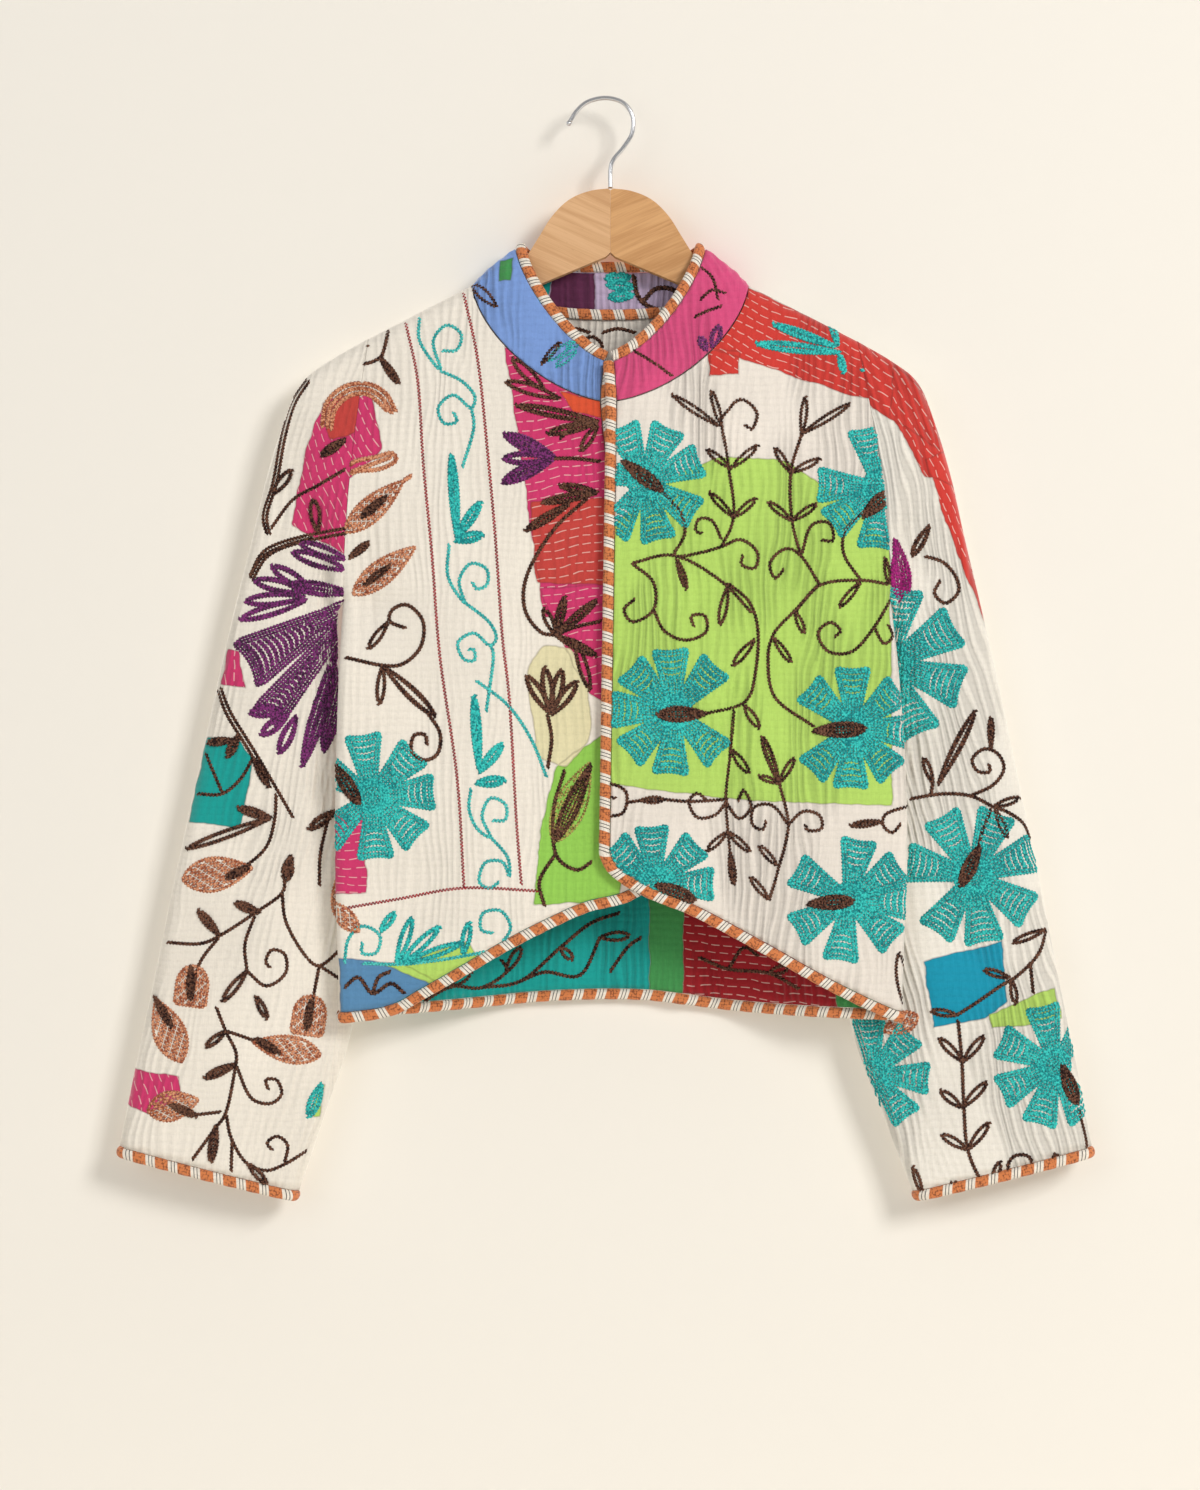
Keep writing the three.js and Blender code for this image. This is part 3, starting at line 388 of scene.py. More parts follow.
# %% Node helpers
class Wire:
    """An output of a node. Each step of arithmetic on it adds one more node to its tree."""

    def __init__(self, socket):
        self.socket = socket
        self.tree = socket.id_data

    def maths(self, operation, second=0.0, third=0.0):
        return node(self.tree, "Math", {"operation": operation}, _0=self, _1=second, _2=third)[0]

    def vector(self, operation, second, third=(0, 0, 0), output=0):
        settings = {"operation": operation}
        return node(self.tree, "VectorMath", settings, _0=self, _1=second, _2=third)[output]

    def __add__(self, other):
        return self.maths("ADD", other)

    def __sub__(self, other):
        return self.maths("SUBTRACT", other)

    def __mul__(self, other):
        return self.maths("MULTIPLY", other)

    def __truediv__(self, other):
        return self.maths("DIVIDE", other)

    def away_from(self, level):
        return (self - level).maths("ABSOLUTE")

    def from_middle(self):
        """How far its fraction is from a half, for things that repeat at whole numbers."""
        return self.maths("FRACT").away_from(0.5)


def feed(made, inputs):
    """Gives inputs their values or wires: _0 is a node's first input, Base_Color the one of that name."""
    for key, value in inputs.items():
        socket = made.inputs[int(key[1:]) if key[0] == "_" else key.replace("_", " ")]
        if isinstance(value, Wire):
            made.id_data.links.new(value.socket, socket)
        else:
            socket.default_value = value


def node(tree, kind, settings=None, **inputs):
    """The wires that come out of a new node; settings are its properties."""
    made = tree.nodes.new("ShaderNode" + kind)
    for key, value in (settings or {}).items():
        setattr(made, key, value)
    feed(made, inputs)
    return [Wire(socket) for socket in made.outputs]


def named_output(tree, kind, name):
    return Wire(tree.nodes.new("ShaderNode" + kind).outputs[name])


def pattern_place(tree):
    return node(tree, "UVMap", {"uv_map": "pattern"})[0]


def noise(place, scale=1.0, detail=2.0, stretch=None, shift=(0, 0, 0), output=0, distortion=0.0):
    """The level of a noise, whose place may be stretched along each axis first."""
    if stretch:
        place = node(place.tree, "Mapping", Vector=place, Scale=stretch, Location=shift)[0]
    made = node(place.tree, "TexNoise", Vector=place, Scale=scale, Detail=detail, Distortion=distortion)
    return made[output]


def turned_by(place, angle):
    return node(place.tree, "VectorRotate", {"rotation_type": "Z_AXIS"}, Vector=place, Angle=angle)[0]


def ramp(value, low, high, from_value=0.0, to_value=1.0):
    """value from low to high becomes from_value to to_value, smoothly."""
    settings = {"interpolation_type": "SMOOTHSTEP"}
    return node(value.tree, "MapRange", settings, Value=value, From_Min=low, From_Max=high,
                To_Min=from_value, To_Max=to_value)[0]


def blend(share, first, second):
    return node(share.tree, "Mix", {"data_type": "RGBA"}, _0=share, _6=first, _7=second)[2]


def scaled(colour, level):
    return node(level.tree, "VectorMath", {"operation": "SCALE"}, _0=colour, Scale=level)[0]


def bump(height, strength, distance, **more):
    return node(height.tree, "Bump", Strength=strength, Distance=distance, Height=height, **more)[0]


def rgb(red, green, blue):
    """A colour given as it looks on a screen, 0 to 255, as the linear light that a shader mixes."""
    share = np.array([red, green, blue]) / 255
    linear = np.where(share <= 0.04045, share / 12.92, ((share + 0.055) / 1.055) ** 2.4)
    return (*linear.tolist(), 1.0)


def new_material(name):
    """The node tree of a new material, and what ends it by feeding its shader."""
    material = bpy.data.materials.new(name)
    material.use_nodes = True

    def finish(**inputs):
        feed(material.node_tree.nodes["Principled BSDF"], inputs)
        return material

    return material.node_tree, finish


def new_group(name, **inputs):
    """An empty node group and the wires of its inputs, whose kinds follow from their first values."""
    tree = bpy.data.node_groups.new(name, "ShaderNodeTree")
    kinds = {type(None): "NodeSocketVector", float: "NodeSocketFloat", tuple: "NodeSocketColor"}
    for key, value in inputs.items():
        label = key.replace("_", " ")
        socket = tree.interface.new_socket(label, in_out="INPUT", socket_type=kinds[type(value)])
        if value is not None:
            socket.default_value = value
    given = tree.nodes.new("NodeGroupInput").outputs
    return tree, [Wire(given[k]) for k in range(len(inputs))]


def end_group(tree, **outputs):
    for label in outputs:
        kind = "NodeSocketColor" if label == "Color" else "NodeSocketFloat"
        tree.interface.new_socket(label, in_out="OUTPUT", socket_type=kind)
    feed(tree.nodes.new("NodeGroupOutput"), outputs)
    return tree


# %% [markdown]
# A cut piece of cloth is a mask with slightly uneven edges. Three groups make the cotton: "running stitch"
# gives rows of dashes with the dimples they pull, "ripples" gives upright puckers, and "cotton" gives the
# plain weave and the soft unevenness of a cloth that has been washed many times, with a little painted
# shade where its fine noise sinks the weave. The finish darkens the dimples and the ripple valleys as painted
# shade too.


# %% Patch outline
def uneven_place(pattern):
    """The place on the cloth, shaken by a millimetre or so, so that cut edges aren't quite straight."""
    shake = noise(pattern, 55.0, output=1).vector("SUBTRACT", (0.5, 0.5, 0.5))
    return shake.vector("MULTIPLY_ADD", (0.006, 0.006, 0.0), pattern)


def beyond_outline(place, corners, rounding):
    """How far a place lies outside a convex outline: the largest of its distances beyond each edge."""
    corners = laid(corners) * MM
    middle = corners.mean(0)
    distance = None
    for start, end in zip(corners, np.roll(corners, -1, 0)):
        square = unit(np.array([end[1] - start[1], start[0] - end[0]]))
        square = square * (1 if np.dot(middle - start, square) < 0 else -1)
        reach = place.vector("DOT_PRODUCT", (*square.tolist(), 0.0), output=1)
        beyond = reach - float(np.dot(start, square))
        distance = beyond if distance is None else distance.maths("SMOOTH_MAX", beyond, rounding * MM)
    return distance


# %% Running stitch group
def build_stitch_group():
    """Rows across the cloth: row = v / pitch, a dash where the place along it is in its first part."""
    tree, (place, pitch, stitch, turn) = new_group(
        "running stitch", Vector=None, Row_Pitch=0.0074, Stitch=0.0108, Turn=0.0)
    turned = turned_by(place, turn)
    sway = (noise(turned, 26.0) - 0.5) * 1.5
    along, across, _ = node(tree, "SeparateXYZ", _0=turned)
    row = across / pitch + sway
    from_line = row.from_middle()
    shift = node(tree, "TexWhiteNoise", {"noise_dimensions": "1D"}, W=row.maths("FLOOR"))[0]
    from_dash = (along / stitch + (shift + sway)).from_middle()
    dash = ramp(from_line, 0.075, 0.04) * ramp(from_dash, 0.37, 0.32)
    return end_group(tree, Thread=dash, Height=ramp(from_line, 0.0, 0.4) + dash * 0.5)


STITCH = build_stitch_group()

# %% Ripple group
RIPPLE_PITCH = 0.0068


def build_ripple_group():
    """Upright puckers: a valley wherever the drifting phase x / pitch comes near a whole number."""
    tree, (place, lean) = new_group("ripples", Vector=None, Lean=0.0)
    turned = turned_by(place, lean)
    drift = noise(turned, stretch=(20.0, 7.0, 1.0))
    phase = node(tree, "SeparateXYZ", _0=turned)[0] / RIPPLE_PITCH + drift * 5.0
    depth = noise(turned, stretch=(13.0, 5.0, 1.0), shift=(3.1, 0.7, 0.0))
    valley = ramp(phase.from_middle(), 0.5, 0.06) * ramp(depth, 0.38, 0.62, 0.05, 1.15)
    return end_group(tree, Valley=valley)


RIPPLES = build_ripple_group()

# %% Cotton group
THREAD_PITCH = 0.0009
UNEVENNESS = 0.12


def build_cotton_group():
    """Plain weave: sin(u) * sin(v) at thread pitch; two sizes of noise vary the tone, with painted shade
    where the fine one sinks the weave.
    """
    tree, (place, colour) = new_group("cotton", Vector=None, Color=(0.8, 0.8, 0.8, 1))
    parts = node(tree, "SeparateXYZ", _0=place)
    warp, weft = ((part * (2 * math.pi / THREAD_PITCH)).maths("SINE") for part in parts[:2])
    fine = noise(place, 420.0, 3.0)
    slub = noise(place, stretch=(1200.0, 90.0, 1.0))
    # The tone varies at random, and through the fine noise it is also painted shade: darker where the weave
    # sinks.
    tone = noise(place, 9.0, 3.0) * 0.6 + fine * 0.4 + (slub - 0.5) * 0.5
    level = node(tree, "MapRange", Value=tone, From_Min=0.25, From_Max=0.75, To_Min=1 - UNEVENNESS,
                 To_Max=1 + UNEVENNESS / 2)[0]
    return end_group(tree, Color=scaled(colour, level), Height=warp * weft * 0.5 + fine,
                     Roughness=ramp(tone, 0.3, 0.7, 0.95, 0.82))


COTTON = build_cotton_group()

# %% [markdown]
# The jacket is pieced from many old cloths. Each finish starts from its ground cloth and lays patches over
# it in order, and the brightest patches carry rows of pale running stitches.

# %% Cloth colours
CREAM = rgb(238, 231, 219)
GREIGE = rgb(232, 224, 214)
SLEEVE_CREAM = rgb(234, 229, 219)
LIME = rgb(180, 216, 104)
SOFT_GREEN = rgb(146, 202, 84)
LEAF_GREEN = rgb(66, 148, 80)
MAGENTA = rgb(206, 54, 108)
CRIMSON = rgb(194, 66, 60)
SCARLET = rgb(206, 58, 50)
ORANGE_RED = rgb(222, 84, 50)
DARK_RED = rgb(158, 24, 34)
TEAL = rgb(12, 158, 152)
SEA_BLUE = rgb(8, 146, 176)
BLUE = rgb(88, 138, 180)
PERIWINKLE = rgb(124, 158, 220)
PINK = rgb(216, 78, 128)
PURPLE = rgb(96, 42, 76)
LILAC = rgb(196, 178, 208)
OLIVE = rgb(226, 218, 176)
PALE_THREAD = rgb(250, 226, 214)
BARE = None
SHADOW = rgb(70, 46, 40)


# %% Cloth finish
def cloth_material(name, ground, patches=(), lean=0.0, rippled=1.0):
    """Ground cloth with patches: colour, corners on the squared sheet, rounding, running thread, its turn."""
    tree, finish = new_material(name)
    pattern = pattern_place(tree)
    place = uneven_place(pattern)
    colour = ground
    height = node(tree, "Group", {"node_tree": STITCH}, Vector=pattern, Row_Pitch=0.0062, Stitch=0.0066)[1]
    seam_shade = None
    for cloth, corners, rounding, thread, turn in patches:
        beyond = beyond_outline(place, corners, rounding)
        mask = ramp(beyond, 0.0004, -0.0004)
        if thread:
            rows = {"node_tree": STITCH}
            dashes, lifted = node(tree, "Group", rows, Vector=pattern, Turn=math.radians(turn))
            cloth = blend(dashes * 0.48, cloth, thread)
            height = node(tree, "SeparateColor", Color=blend(mask, height, lifted))[0]
        colour = blend(mask, colour, cloth)
        # A band along each patch's outline; below, it darkens the colour towards SHADOW as painted shade
        # along the seams.
        edge = ramp(beyond.maths("ABSOLUTE"), 0.0012, 0.0003)
        seam_shade = edge if seam_shade is None else seam_shade.maths("MAXIMUM", edge)
    if seam_shade is not None:
        colour = blend(seam_shade * 0.3, colour, SHADOW)
    colour, weave, roughness = node(tree, "Group", {"node_tree": COTTON}, Vector=pattern, Color=colour)
    valley = node(tree, "Group", {"node_tree": RIPPLES}, Vector=pattern, Lean=math.radians(lean))[0] * rippled
    # Painted shade: the colour darkens in the running stitch dimples and in the ripple valleys.
    painted_crease_shade = ramp(height, 0.0, 0.5, 0.965, 1.0) * ramp(valley, 0.35, 1.0, 1.0, 0.8)
    rippling = node(tree, "Bump", {"invert": True}, Strength=0.8, Distance=0.0016, Height=valley)[0]
    quilted = bump(height, 0.4, 0.0006, Normal=rippling)
    return finish(Base_Color=scaled(colour, painted_crease_shade), Roughness=roughness, Specular_IOR_Level=0.25,
                  Sheen_Weight=0.25, Sheen_Roughness=0.5, Normal=bump(weave, 0.35, 0.0002, Normal=quilted))


# %% Patches on the fronts
LEFT_FRONT_CLOTH = cloth_material("left_front_cloth", GREIGE, [
    (LIME, (604, 512, 671, 480, 697, 459, 768, 460, 821, 470, 857, 511, 889, 533, 890, 818, 785, 805,
            725, 799, 604, 794), 3, BARE, 0),
    (SCARLET, (745, 284, 860, 336, 880, 356, 886, 406, 855, 396, 708, 369, 708, 352),
     1, PALE_THREAD, 24),
    (SCARLET, (708, 350, 740, 352, 739, 376, 709, 377), 1, PALE_THREAD, 24),
], lean=2, rippled=1.0)
RIGHT_FRONT_CLOTH = cloth_material("right_front_cloth", CREAM, [
    (MAGENTA, (505, 348, 620, 400, 620, 600, 545, 620, 533, 544, 514, 413), 2, PALE_THREAD, -10),
    (ORANGE_RED, (560, 392, 620, 410, 620, 424, 572, 412), 2, BARE, 0),
    (CRIMSON, (531, 503, 620, 498, 620, 586, 536, 584), 4, PALE_THREAD, -10),
    (MAGENTA, (541, 590, 620, 584, 620, 712, 590, 694, 560, 640), 3, PALE_THREAD, -10),
    (SOFT_GREEN, (546, 766, 590, 742, 620, 720, 620, 900, 522, 905, 541, 827), 3, BARE, 0),
    (OLIVE, (526, 668, 544, 646, 572, 650, 590, 690, 590, 740, 566, 768, 538, 758), 8, BARE, 0),
    (MAGENTA, (338, 402, 371, 393, 383, 450, 352, 480, 338, 478), 3, PALE_THREAD, 60),
    (MAGENTA, (336, 814, 367, 812, 368, 892, 337, 893), 1, PALE_THREAD, 0),
    (BLUE, (340, 957, 404, 962, 446, 984, 412, 1010, 342, 1018), 1, BARE, 0),
    (LIME, (386, 964, 470, 940, 478, 956, 440, 984, 404, 972), 2, BARE, 0),
], lean=0, rippled=0.45)

# %% Patches on the back
BACK_CLOTH = cloth_material("back_cloth", CREAM, [
    (SCARLET, (385, 470, 470, 460, 478, 540, 392, 548), 3, PALE_THREAD, -25),
    (LIME, (610, 560, 820, 540, 850, 800, 640, 830), 14, BARE, 0),
    (MAGENTA, (360, 560, 450, 550, 470, 780, 380, 800), 4, PALE_THREAD, 0),
    (SEA_BLUE, (700, 300, 800, 330, 790, 460, 690, 440), 4, PALE_THREAD, 10),
    (TEAL, (395, 905, 640, 900, 640, 1010, 395, 1015), 3, BARE, 0),
])
BACK_INSIDE = cloth_material("back_inside", CREAM, [
    (TEAL, (340, 850, 650, 850, 650, 1030, 340, 1030), 1, BARE, 0),
    (LEAF_GREEN, (650, 850, 684, 850, 684, 1030, 650, 1030), 1, BARE, 0),
    (DARK_RED, (684, 850, 826, 850, 838, 1030, 684, 1030), 1, PALE_THREAD, 4),
    (LEAF_GREEN, (826, 850, 890, 850, 890, 1030, 838, 1030), 1, BARE, 0),
])
COTTON_INSIDE = cloth_material("inside_cloth", rgb(226, 214, 198), [])

# %% Patches on the sleeves
LEFT_SLEEVE_CLOTH = cloth_material("left_sleeve_cloth", SLEEVE_CREAM, [
    (SCARLET, (840, 320, 940, 372, 940, 450, 906, 437, 877, 411, 848, 394), 1, PALE_THREAD, 40),
    (SCARLET, (895, 365, 965, 420, 960, 486, 926, 476, 890, 415), 1, PALE_THREAD, 55),
    (SCARLET, (920, 462, 965, 440, 1010, 660, 988, 645, 953, 540), 1, PALE_THREAD, 65),
    (SEA_BLUE, (924, 962, 1002, 941, 1007, 1002, 985, 1018, 934, 1028), 1, BARE, 0),
    (LIME, (989, 1014, 1056, 988, 1064, 1020, 992, 1028), 1, BARE, 0),
], lean=-12, rippled=1.25)
RIGHT_SLEEVE_CLOTH = cloth_material("right_sleeve_cloth", CREAM, [
    (MAGENTA, (308, 440, 326, 400, 362, 393, 364, 566, 345, 556, 290, 526), 5, PALE_THREAD, 68),
    (CRIMSON, (322, 404, 360, 392, 362, 430, 330, 440), 4, BARE, 0),
    (MAGENTA, (226, 649, 238, 652, 244, 688, 220, 684), 1, PALE_THREAD, 90),
    (TEAL, (205, 736, 240, 741, 252, 760, 240, 827, 186, 822), 2, BARE, 0),
    (MAGENTA, (130, 1070, 178, 1077, 179, 1098, 147, 1115, 124, 1106), 1, PALE_THREAD, 75),
    (LIME, (318, 1086, 324, 1086, 318, 1118, 312, 1118), 1, BARE, 0),
], lean=12, rippled=0.55)
print("cloth finishes:", len([m for m in bpy.data.materials if "cloth" in m.name or "inside" in m.name]))

# %% [markdown]
# A panel's grid runs down columns from its top edge to its hem. The first rows turn over the shoulder and
# the last columns turn round the side seam, so front and back meet face to face with a hair's gap.

# %% Panel grids
COLUMN_STEP = 1.6
ROW_STEP = 5.2
RIDGE_ROWS = 5
SIDE_COLUMNS = 5


def panel_heights(top, hem):
    """Rows for columns whose ends are given: an arc over the ridge, then even steps to underarm and hem."""
    turn = np.linspace(0, np.pi / 2, RIDGE_ROWS)[:, None]
    bend = top - RIDGE_RADIUS * (1 - np.cos(turn))
    upper_count = int((NECK_TOP - UNDERARM) / ROW_STEP)
    lower_count = int((UNDERARM - SIDE_HEM) / ROW_STEP)
    upper = mix(bend[-1], UNDERARM, np.linspace(0, 1, upper_count + 1)[1:, None])
    lower = mix(UNDERARM, hem, np.linspace(0, 1, lower_count + 1)[1:, None])
    return np.concatenate([bend, upper, lower])


def half_columns(side, from_at):
    """across(height) of each column: even shares from the panel's edge, then an arc round the side seam."""
    start = side["sign"] * float(from_at(np.array(NECK_TOP)))
    end = float(side_at(side, np.array(NECK_TOP))) - SIDE_RADIUS
    neck_share = (NECK_HALF_WIDTH - start) / (end - start)
    count = int((end + 20 - start) / COLUMN_STEP)
    before = max(int(count * neck_share), 2)
    shares = np.concatenate([np.linspace(0, neck_share, before + 1),
                             np.linspace(neck_share, 1, count - before + 1)[1:]])
    turns = np.linspace(np.pi / 2, 0, SIDE_COLUMNS + 1)[1:]

    def across(height):
        out = side_at(side, height)
        flat = mix(from_at(height)[..., None], side["sign"] * (out - SIDE_RADIUS)[..., None], shares)
        turned = side["sign"] * (out[..., None] - SIDE_RADIUS * (1 - np.cos(turns)))
        return np.concatenate([flat, turned], -1)

    return across


def panel_grid(across_of, top_of, hem_of, depth_of, facing):
    """The cloth's middle: x and z from the columns and rows, y from the depth function."""
    count = across_of(np.array([NECK_TOP])).shape[-1]
    pick = np.arange(count)
    top = np.full(count, float(UNDERARM))
    hem = np.full(count, float(SIDE_HEM))
    for _ in range(8):
        top = top_of(across_of(top)[pick, pick])
        hem = hem_of(across_of(hem)[pick, pick])
    height = panel_heights(top, hem)
    across = np.stack([across_of(row)[pick, pick] for row in height])
    depth = depth_of(across, height)
    at_ridge = np.abs(ridge_at(across) - height) < 0.01
    depth = depth + facing * GAP * at_ridge
    mid = np.stack([CENTRE_X + across, depth, height], -1)
    normal = wall_normals(mid)
    normal = normal * np.sign(np.sum(normal[..., 1]) * facing)
    return mid, normal, across, height


def front_grid(name):
    side = SIDES[name]
    neck_edge, corner_edge = FRONT_EDGES[name]
    neck = NECK_TOP - NECK_DROP_FRONT

    def from_at(height):
        return mix(neck_edge, corner_edge, np.clip((neck - height) / (neck - FRONT_CORNER), 0, 1))

    def top_of(across):
        return np.where(np.abs(across) < NECK_HALF_WIDTH, front_neck_at(across), ridge_at(across))

    hem = HEMS[name + "_front"]
    return panel_grid(half_columns(side, from_at), top_of, lambda across: through(*hem, across),
                      lambda across, height: front_depth(name, across, height), -1)


def back_grid():
    halves = [half_columns(SIDES[name], lambda height: np.zeros_like(height)) for name in ("right", "left")]

    def across_of(height):
        right, left = halves[0](height), halves[1](height)
        return np.concatenate([right[..., ::-1], left[..., 1:]], -1)

    def top_of(across):
        return np.where(np.abs(across) < NECK_HALF_WIDTH, back_neck_at(across), ridge_at(across))

    return panel_grid(across_of, top_of, lambda across: through(*HEMS["back"], across), back_depth, 1)


# %% Make the panels
panels = {}
for panel, outer, inner in (("right_front", RIGHT_FRONT_CLOTH, COTTON_INSIDE),
                            ("left_front", LEFT_FRONT_CLOTH, COTTON_INSIDE),
                            ("back", BACK_CLOTH, BACK_INSIDE)):
    mid, normal, across, height = back_grid() if panel == "back" else front_grid(panel.split("_")[0])
    relief = panel_relief(panel, across, height)
    piece = cloth_wall(panel + "_cloth", mid, normal, relief, outer, inner)
    panels[panel] = {"piece": piece, "mid": mid, "normal": normal}
    print(panel, mid.shape[:2], "relief", round(float(np.abs(relief).max()), 2), "mm")


# %% [markdown]
# A sleeve is a flattened tube. Each ring runs between a point on the outer fold and one on the underarm
# seam, with round ends, and near the armhole the rings blend into the edge of the body.

# %% Sleeve sizes
SLEEVE_RINGS = np.array([  # outer fold across and height, underarm seam the same, middle, front, back
    (210, -207.3, 237, -428, -6, 9, 5),
    (240, -225, 242.5, -438, -4, 9, 5),
    (262, -243, 241, -450, -1, 9, 5),
    (276, -274, 237, -466, 2, 9, 4),
    (291, -322, 230, -490, 4, 9, 4),
    (303, -374, 220, -523, 5, 9, 4),
    (318, -436, 210, -568, 5, 10, 4),
    (335, -512, 201, -625, 5, 10, 4),
    (351, -588, 198, -685, 4, 10, 4),
    (368, -668, 201, -745, 3, 10, 4),
    (384, -748, 213, -805, 3, 10, 4),
    (400, -826, 237, -868, 2, 8, 4),
    (413, -894, 262, -932, 0, 6, 4),
])
LAST_RING = 12
SLEEVE_END_RADIUS = 12
ARMHOLE_BLEND = 2.4
SLEEVES = {"right": {"swing": 5, "tuck": 12}, "left": {"swing": -3, "tuck": 0}}
SLEEVE_FOLDS = {  # share across, drift, width, depth, first and last ring of the troughs on each face
    -1: ((0.2, 0.1, 0.06, 2.6, 1.5, 8), (0.36, 0.16, 0.06, 2.4, 2, 9.5),
         (0.56, 0.12, 0.07, 1.8, 3, 11), (0.74, 0.05, 0.07, 1.4, 1, 6)),
    1: ((0.3, 0.14, 0.08, 2.4, 1.5, 9), (0.55, 0.1, 0.08, 2.0, 2.5, 11)),
}


def ring_column(column, ring):
    return through(np.arange(LAST_RING + 1), SLEEVE_RINGS[:, column], ring)


# %% Sleeve surface
def sleeve_edges(name, ring):
    """Across and height of the outer fold and of the underarm seam at a ring."""
    side, sleeve = SIDES[name], SLEEVES[name]
    own = smooth(ring / ARMHOLE_BLEND)
    swing = sleeve["swing"] * ring / LAST_RING
    outer = ring_column(0, ring) + (side["shoulder"] - 210) * (1 - own) + swing
    outer_height = ring_column(1, ring) + (ridge_at(side["shoulder"]) - ridge_at(210)) * (1 - own)
    tuck = sleeve["tuck"] * np.sin(np.clip((ring - 3) / 9, 0, 1) * np.pi)
    inner = ring_column(2, ring) + (side["underarm"] - 237) * (1 - smooth(ring / 6)) + swing + tuck
    return outer, outer_height, inner, ring_column(3, ring)


def sleeve_surface(name, face, share, ring):
    """A point of the cloth's middle. Depth is middle + face (round end + crown - troughs), and by the
    armhole it is mixed with the depth of the body's own edge."""
    side = SIDES[name]
    own = smooth(ring / ARMHOLE_BLEND)
    outer, outer_height, inner, inner_height = sleeve_edges(name, ring)
    width = np.hypot(outer - inner, outer_height - inner_height)
    place = share * width
    swell = SLEEVE_END_RADIUS * quarter_round(np.minimum(place, width - place) / SLEEVE_END_RADIUS)
    crown = ring_column(5, ring) if face < 0 else ring_column(6, ring)
    crown = crown * np.sin(share * np.pi)
    troughs = 0.0
    for at, drift, wide, depth, first, last in SLEEVE_FOLDS[face]:
        progress = np.clip((ring - first) / (last - first), 0, 1)
        away = (share - at - drift * progress) / wide
        troughs = troughs + depth * np.sin(progress * np.pi) ** 2 * np.exp(-away * away)
    own_depth = ring_column(4, ring) + face * (swell + crown - troughs)
    edge_height = mix(UNDERARM, ridge_at(side["shoulder"]), share)
    edge_across = side_at(side, edge_height)
    signed = side["sign"] * edge_across
    edge_depth = front_depth(name, signed, edge_height) if face < 0 else back_depth(signed, edge_height)
    bow = (edge_across - mix(side["underarm"], side["shoulder"], share)) * (1 - own) ** 2
    across = mix(inner, outer, share) + bow + GAP
    height = mix(inner_height, outer_height, share)
    return np.stack([CENTRE_X + side["sign"] * across, mix(edge_depth, own_depth, own), height], -1)


def sleeve_share(half, width):
    """Even steps of cloth from the underarm seam (0) to the outer fold (1), round both folds."""
    radius = SLEEVE_END_RADIUS
    quarter = np.pi / 2 * radius
    flat = width - 2 * radius
    along = half * (2 * quarter + flat)
    first = radius * (1 - np.cos(np.clip(along, 0, quarter) / radius))
    last = radius * np.sin(np.clip(along - quarter - flat, 0, quarter) / radius)
    return (first + np.clip(along - quarter, 0, flat) + last) / width


def sleeve_relief(name, face, share, ring):
    """Crinkles that run down the sleeve, deeper near the underarm and faint at seams and cuff."""
    seed = (4 if name == "left" else 6) + (face > 0)
    across = share * 190
    down = ring * 58
    strength = 0.4 + 1.6 * np.exp(-(((share - 0.22) / 0.22) ** 2)) * smooth((ring - 1) / 4)
    strength = strength * mix(1.0, 0.5, smooth((ring - 8.5) / 3))
    fade = smooth(ring / 0.6) * quarter_round(np.minimum(share, 1 - share) / 0.05)
    return crinkles(across, down, seed) * strength * fade


def sleeve_grid(name):
    rings = np.linspace(0, LAST_RING, 120)[:, None]
    around = np.arange(264)[None, :] / 264
    half = np.where(around < 0.5, around * 2, (1 - around) * 2)
    outer, outer_height, inner, inner_height = sleeve_edges(name, rings)
    share = sleeve_share(half, np.hypot(outer - inner, outer_height - inner_height))
    ring = rings + 0 * around
    front = (around < 0.5)[..., None]
    mid = np.where(front, sleeve_surface(name, -1, share, ring), sleeve_surface(name, 1, share, ring))
    relief = np.where(around < 0.5, sleeve_relief(name, -1, share, ring), sleeve_relief(name, 1, share, ring))
    normal = wall_normals(mid, around=True)
    middle = mid.mean(axis=1, keepdims=True)
    normal = normal * np.sign(np.sum(normal * (mid - middle)))
    return mid, normal, relief


# %% Make the sleeves
sleeves = {}
for name, outer in (("right", RIGHT_SLEEVE_CLOTH), ("left", LEFT_SLEEVE_CLOTH)):
    mid, normal, relief = sleeve_grid(name)
    piece = cloth_wall(name + "_sleeve_cloth", mid, normal, relief, outer, COTTON_INSIDE, around=True)
    sleeves[name] = {"piece": piece, "mid": mid, "normal": normal}
    print(name, "sleeve", mid.shape[:2])


# %% [markdown]
# The collar is a band that rises from the neck seam to a smaller loop above it. The angle round the neck
# is 0 at the middle of the back, 90 degrees at the shoulders and nearly 180 at the fronts' edges.

# %% Collar sizes
COLLAR_TOP_HALF_WIDTH = 81
COLLAR_TOP_SIDE = -128.5
COLLAR_TOP_BACK = -146
COLLAR_TOP_FRONT = -228
COLLAR_ROWS = 22
COLLAR_BOW = 2.2


def neck_seam(angle):
    """The panels' top edge at an angle: across = half width * sin(angle)^(2 / roundness)."""
    turn = np.radians(np.abs(angle))
    across = np.sign(angle) * NECK_HALF_WIDTH * np.abs(np.sin(turn)) ** (2 / NECK_ROUNDNESS)
    in_front = np.abs(angle) > 90
    height = np.where(in_front, front_neck_at(across), back_neck_at(across))
    front = np.where(angle < 0, front_depth("right", across, height), front_depth("left", across, height))
    depth = np.where(in_front, front, back_depth(across, height))
    return np.stack([CENTRE_X + across, depth, height], -1)


